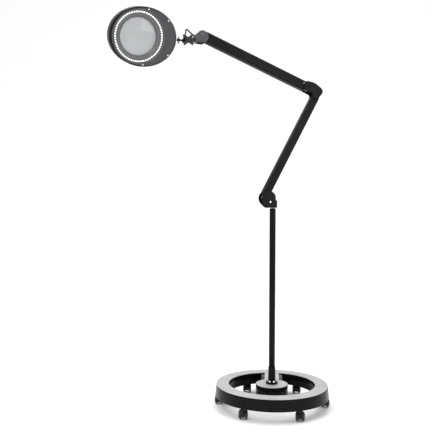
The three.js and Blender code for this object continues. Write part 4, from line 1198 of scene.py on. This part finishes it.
def make_lid():
    hinge = (HEAD.inverted() @ joint_at("lid_open")) / MM
    low, _ = local_box("dust_cover", HEAD)
    radius, y0 = -low.x, low.y
    y1 = y0 + 3.0
    disc = placed(turned_rod([
        (radius - 1.2, y0), (radius, y0 + 1.0), (radius, y1 - 1.0, 0.8), (radius - 1.4, y1, 0.8),
        (radius - 7, y1, 0.5),
        (radius - 8, y1 - 0.8, 0.5), (1, y1 - 0.8),
    ], 0.5, FINE, 4), TO_Y)
    leaf = block((radius - 9, y0 + 1, -16.8), (hinge.x - 2.0, y1, 16.8), 0.6, 1.0)
    knuckle = moved(turned_rod([(3, -16.9), (3, 16.9)], 0.5, 48), hinge.x, hinge.y)
    web = block((hinge.x - 4.6, y0 + 1, -16.8), (hinge.x - 0.6, y1 + 0.9, 16.8), 0.5, 0.6)
    bore = moved(drill(1.7, -30, 30, 32), hinge.x, hinge.y)
    cover = combined([combined([disc, leaf, web, knuckle]), bore], "DIFFERENCE")
    piece("lens_cover", [cover], HEAD, "lid", LID, ["dust_cover"])
    pull = block((-radius + 2, y0 + 1.2, -9), (-radius + 9, y1 + 1.6, 9), 0.8, 2.5)
    piece("lens_cover_pull", [pull], HEAD, "lid", LID)

    bracket_low, bracket_high = local_box("lid_hinge_bracket", HEAD)
    strap = block((hinge.x + 4, bracket_low.y, -24), (hinge.x + 12, bracket_low.y + 2.7, 24), 0.7, 2)
    lugs = []
    for z0, z1 in ((-24, -17.5), (17.5, 24)):
        lugs.append(moved(turned_rod([(3, z0), (3, z1)], 0.4, 48), hinge.x, hinge.y))
        lugs.append(block((hinge.x - 0.5, bracket_low.y, z0), (hinge.x + 6, bracket_low.y + 2.7, z1), 0.4,
                          0.6))
    body = combined([combined([strap, *lugs]), bore], "DIFFERENCE")
    piece("cover_hinge", [body], HEAD, "head", BLACK, ["lid_hinge_bracket"])
    for z in (-14, 14):
        head = along_y(screw_head(1.9, 0.8, 0.6, 32), hinge.x + 8.4, bracket_low.y + 2.6, z)
        piece(f"hinge_screw_{'low' if z < 0 else 'high'}", [head], HEAD, "head", CHROME, sharp=40)
    pin = moved(turned_rod([(1.0, -24), (1.4, -23.6), (1.4, 23.6), (1.0, 24)], 0.2, 32), hinge.x, hinge.y)
    piece("cover_hinge_pin", [pin], HEAD, "head", TURNED, ["lid_hinge_pin"])


def make_clevis():
    low, high = local_box("head_clevis", KNUCKLE)
    half = high.y
    back_left = -half - 2
    ear = arc((0, 0), half, -90, 90, 24) + [Vector((back_left, half)), Vector((back_left, -half))]
    ears = [plate_z(ear, 5, high.z, 0.8), plate_z(ear, low.z, -5, 0.8)]
    back = block((back_left, -half, low.z), (-half, half, high.z), 0.4, 0.5)
    stalk = block((low.x + 0.4, -4, -5), (back_left + 1, 4, 3), 0.8, 0.8)
    pad = block((low.x, -half, -9), (low.x + 1.6, half, 7), 0.4, 1.2)
    bore = drill(2.2, -20, 20, 40)
    piece("head_knuckle", [combined([combined([*ears, back, stalk, pad]), bore], "DIFFERENCE")],
          KNUCKLE, "head", PAINT, ["head_clevis"])
    pin_low, pin_high = local_box("knuckle_pin", KNUCKLE)
    radius = pin_high.x
    pin = turned_rod([(radius - 0.5, pin_low.z), (radius, pin_low.z + 0.5), (radius, pin_high.z - 0.5),
                      (radius - 0.5, pin_high.z)], 0.1, 40)
    piece("head_knuckle_pin", [pin], KNUCKLE, "head", BLACK, ["knuckle_pin"])


# ---------------------------------------------------------------- stage, lights and camera

def make_stage():
    """Pale floor that curves up into a pale backdrop far behind the lamp."""
    width, front, bend, back, height = 14.0, -6.0, 3.0, 6.0, 8.0
    profile = [(front, 0.0), (bend, 0.0)]
    profile += [(bend + (back - bend) * math.sin(t), (back - bend) * (1 - math.cos(t)))
                for t in [math.radians(90 * k / 24) for k in range(1, 25)]]
    profile.append((back, height))
    points = [(x, y, z) for x in (-width, width) for y, z in profile]
    count = len(profile)
    faces = [(k, k + 1, count + k + 1, count + k) for k in range(count - 1)]
    mesh = bpy.data.meshes.new("studio_floor")
    mesh.from_pydata(points, [], faces)
    mesh.shade_smooth()
    surface = Surface("studio_paper", (0.93, 0.93, 0.93), 0.85, grain=60.0, relief=0.02, spread=0.01,
                      uneven=0.05)
    surface.bsdf.inputs["Specular IOR Level"].default_value = 0.1
    mesh.materials.append(surface.material)
    floor = bpy.data.objects.new("studio_floor", mesh)
    bpy.context.scene.collection.objects.link(floor)


def soft_light(name, place, target, size, power):
    light = bpy.data.lights.new(name, "AREA")
    light.shape = "RECTANGLE"
    light.size, light.size_y = size
    light.energy = power
    item = bpy.data.objects.new(name, light)
    item.location = place
    item.rotation_mode = "QUATERNION"
    item.rotation_quaternion = (Vector(target) - Vector(place)).to_track_quat("-Z", "Y")
    bpy.context.scene.collection.objects.link(item)


def make_lights():
    world = bpy.data.worlds.new("studio")
    world.use_nodes = True
    background = world.node_tree.nodes["Background"]
    background.inputs["Color"].default_value = (1, 1, 1, 1)
    background.inputs["Strength"].default_value = 1.0
    bpy.context.scene.world = world
    soft_light("key", (-1.6, -2.4, 3.0), (0, 0, 0.7), (1.6, 1.6), 45)
    soft_light("fill", (2.4, -2.0, 1.6), (0, 0, 0.8), (1.2, 2.0), 14)
    soft_light("top", (0, 0.4, 4.2), (0, 0, 0), (3.0, 3.0), 60)


def make_camera():
    """Eye-level view from the front, turned slightly left."""
    height, distance = 0.701, 2.30
    yaw, pitch, roll = math.radians(-5.23), math.radians(0.14), math.radians(0.3)
    focal = 52.72
    data = bpy.data.cameras.new("view")
    data.sensor_width = 36
    data.lens = focal
    forward = Vector((math.sin(yaw) * math.cos(pitch), math.cos(yaw) * math.cos(pitch), -math.sin(pitch)))
    right = forward.cross(UP).normalized()
    over = right.cross(forward)
    right, over = right * math.cos(roll) + over * math.sin(roll), over * math.cos(roll) - right * math.sin(roll)
    camera = bpy.data.objects.new("view", data)
    turn = Matrix((right, over, -forward)).transposed()
    camera.matrix_world = Matrix.Translation((0, -distance, height)) @ turn.to_4x4()
    bpy.context.scene.collection.objects.link(camera)
    bpy.context.scene.camera = camera
    bpy.context.scene.view_settings.view_transform = "Standard"


make_camera()
make_stage()
make_lights()
make_base()
for caster in CASTERS:
    make_caster(caster)
make_pole()
make_shoulder()
make_arm("lower", LOWER, 48)
make_elbow()
make_arm("upper", UPPER, 48)
make_wrist()
make_lead()
make_neck()
make_rear(*make_head())
make_lid()
make_clevis()
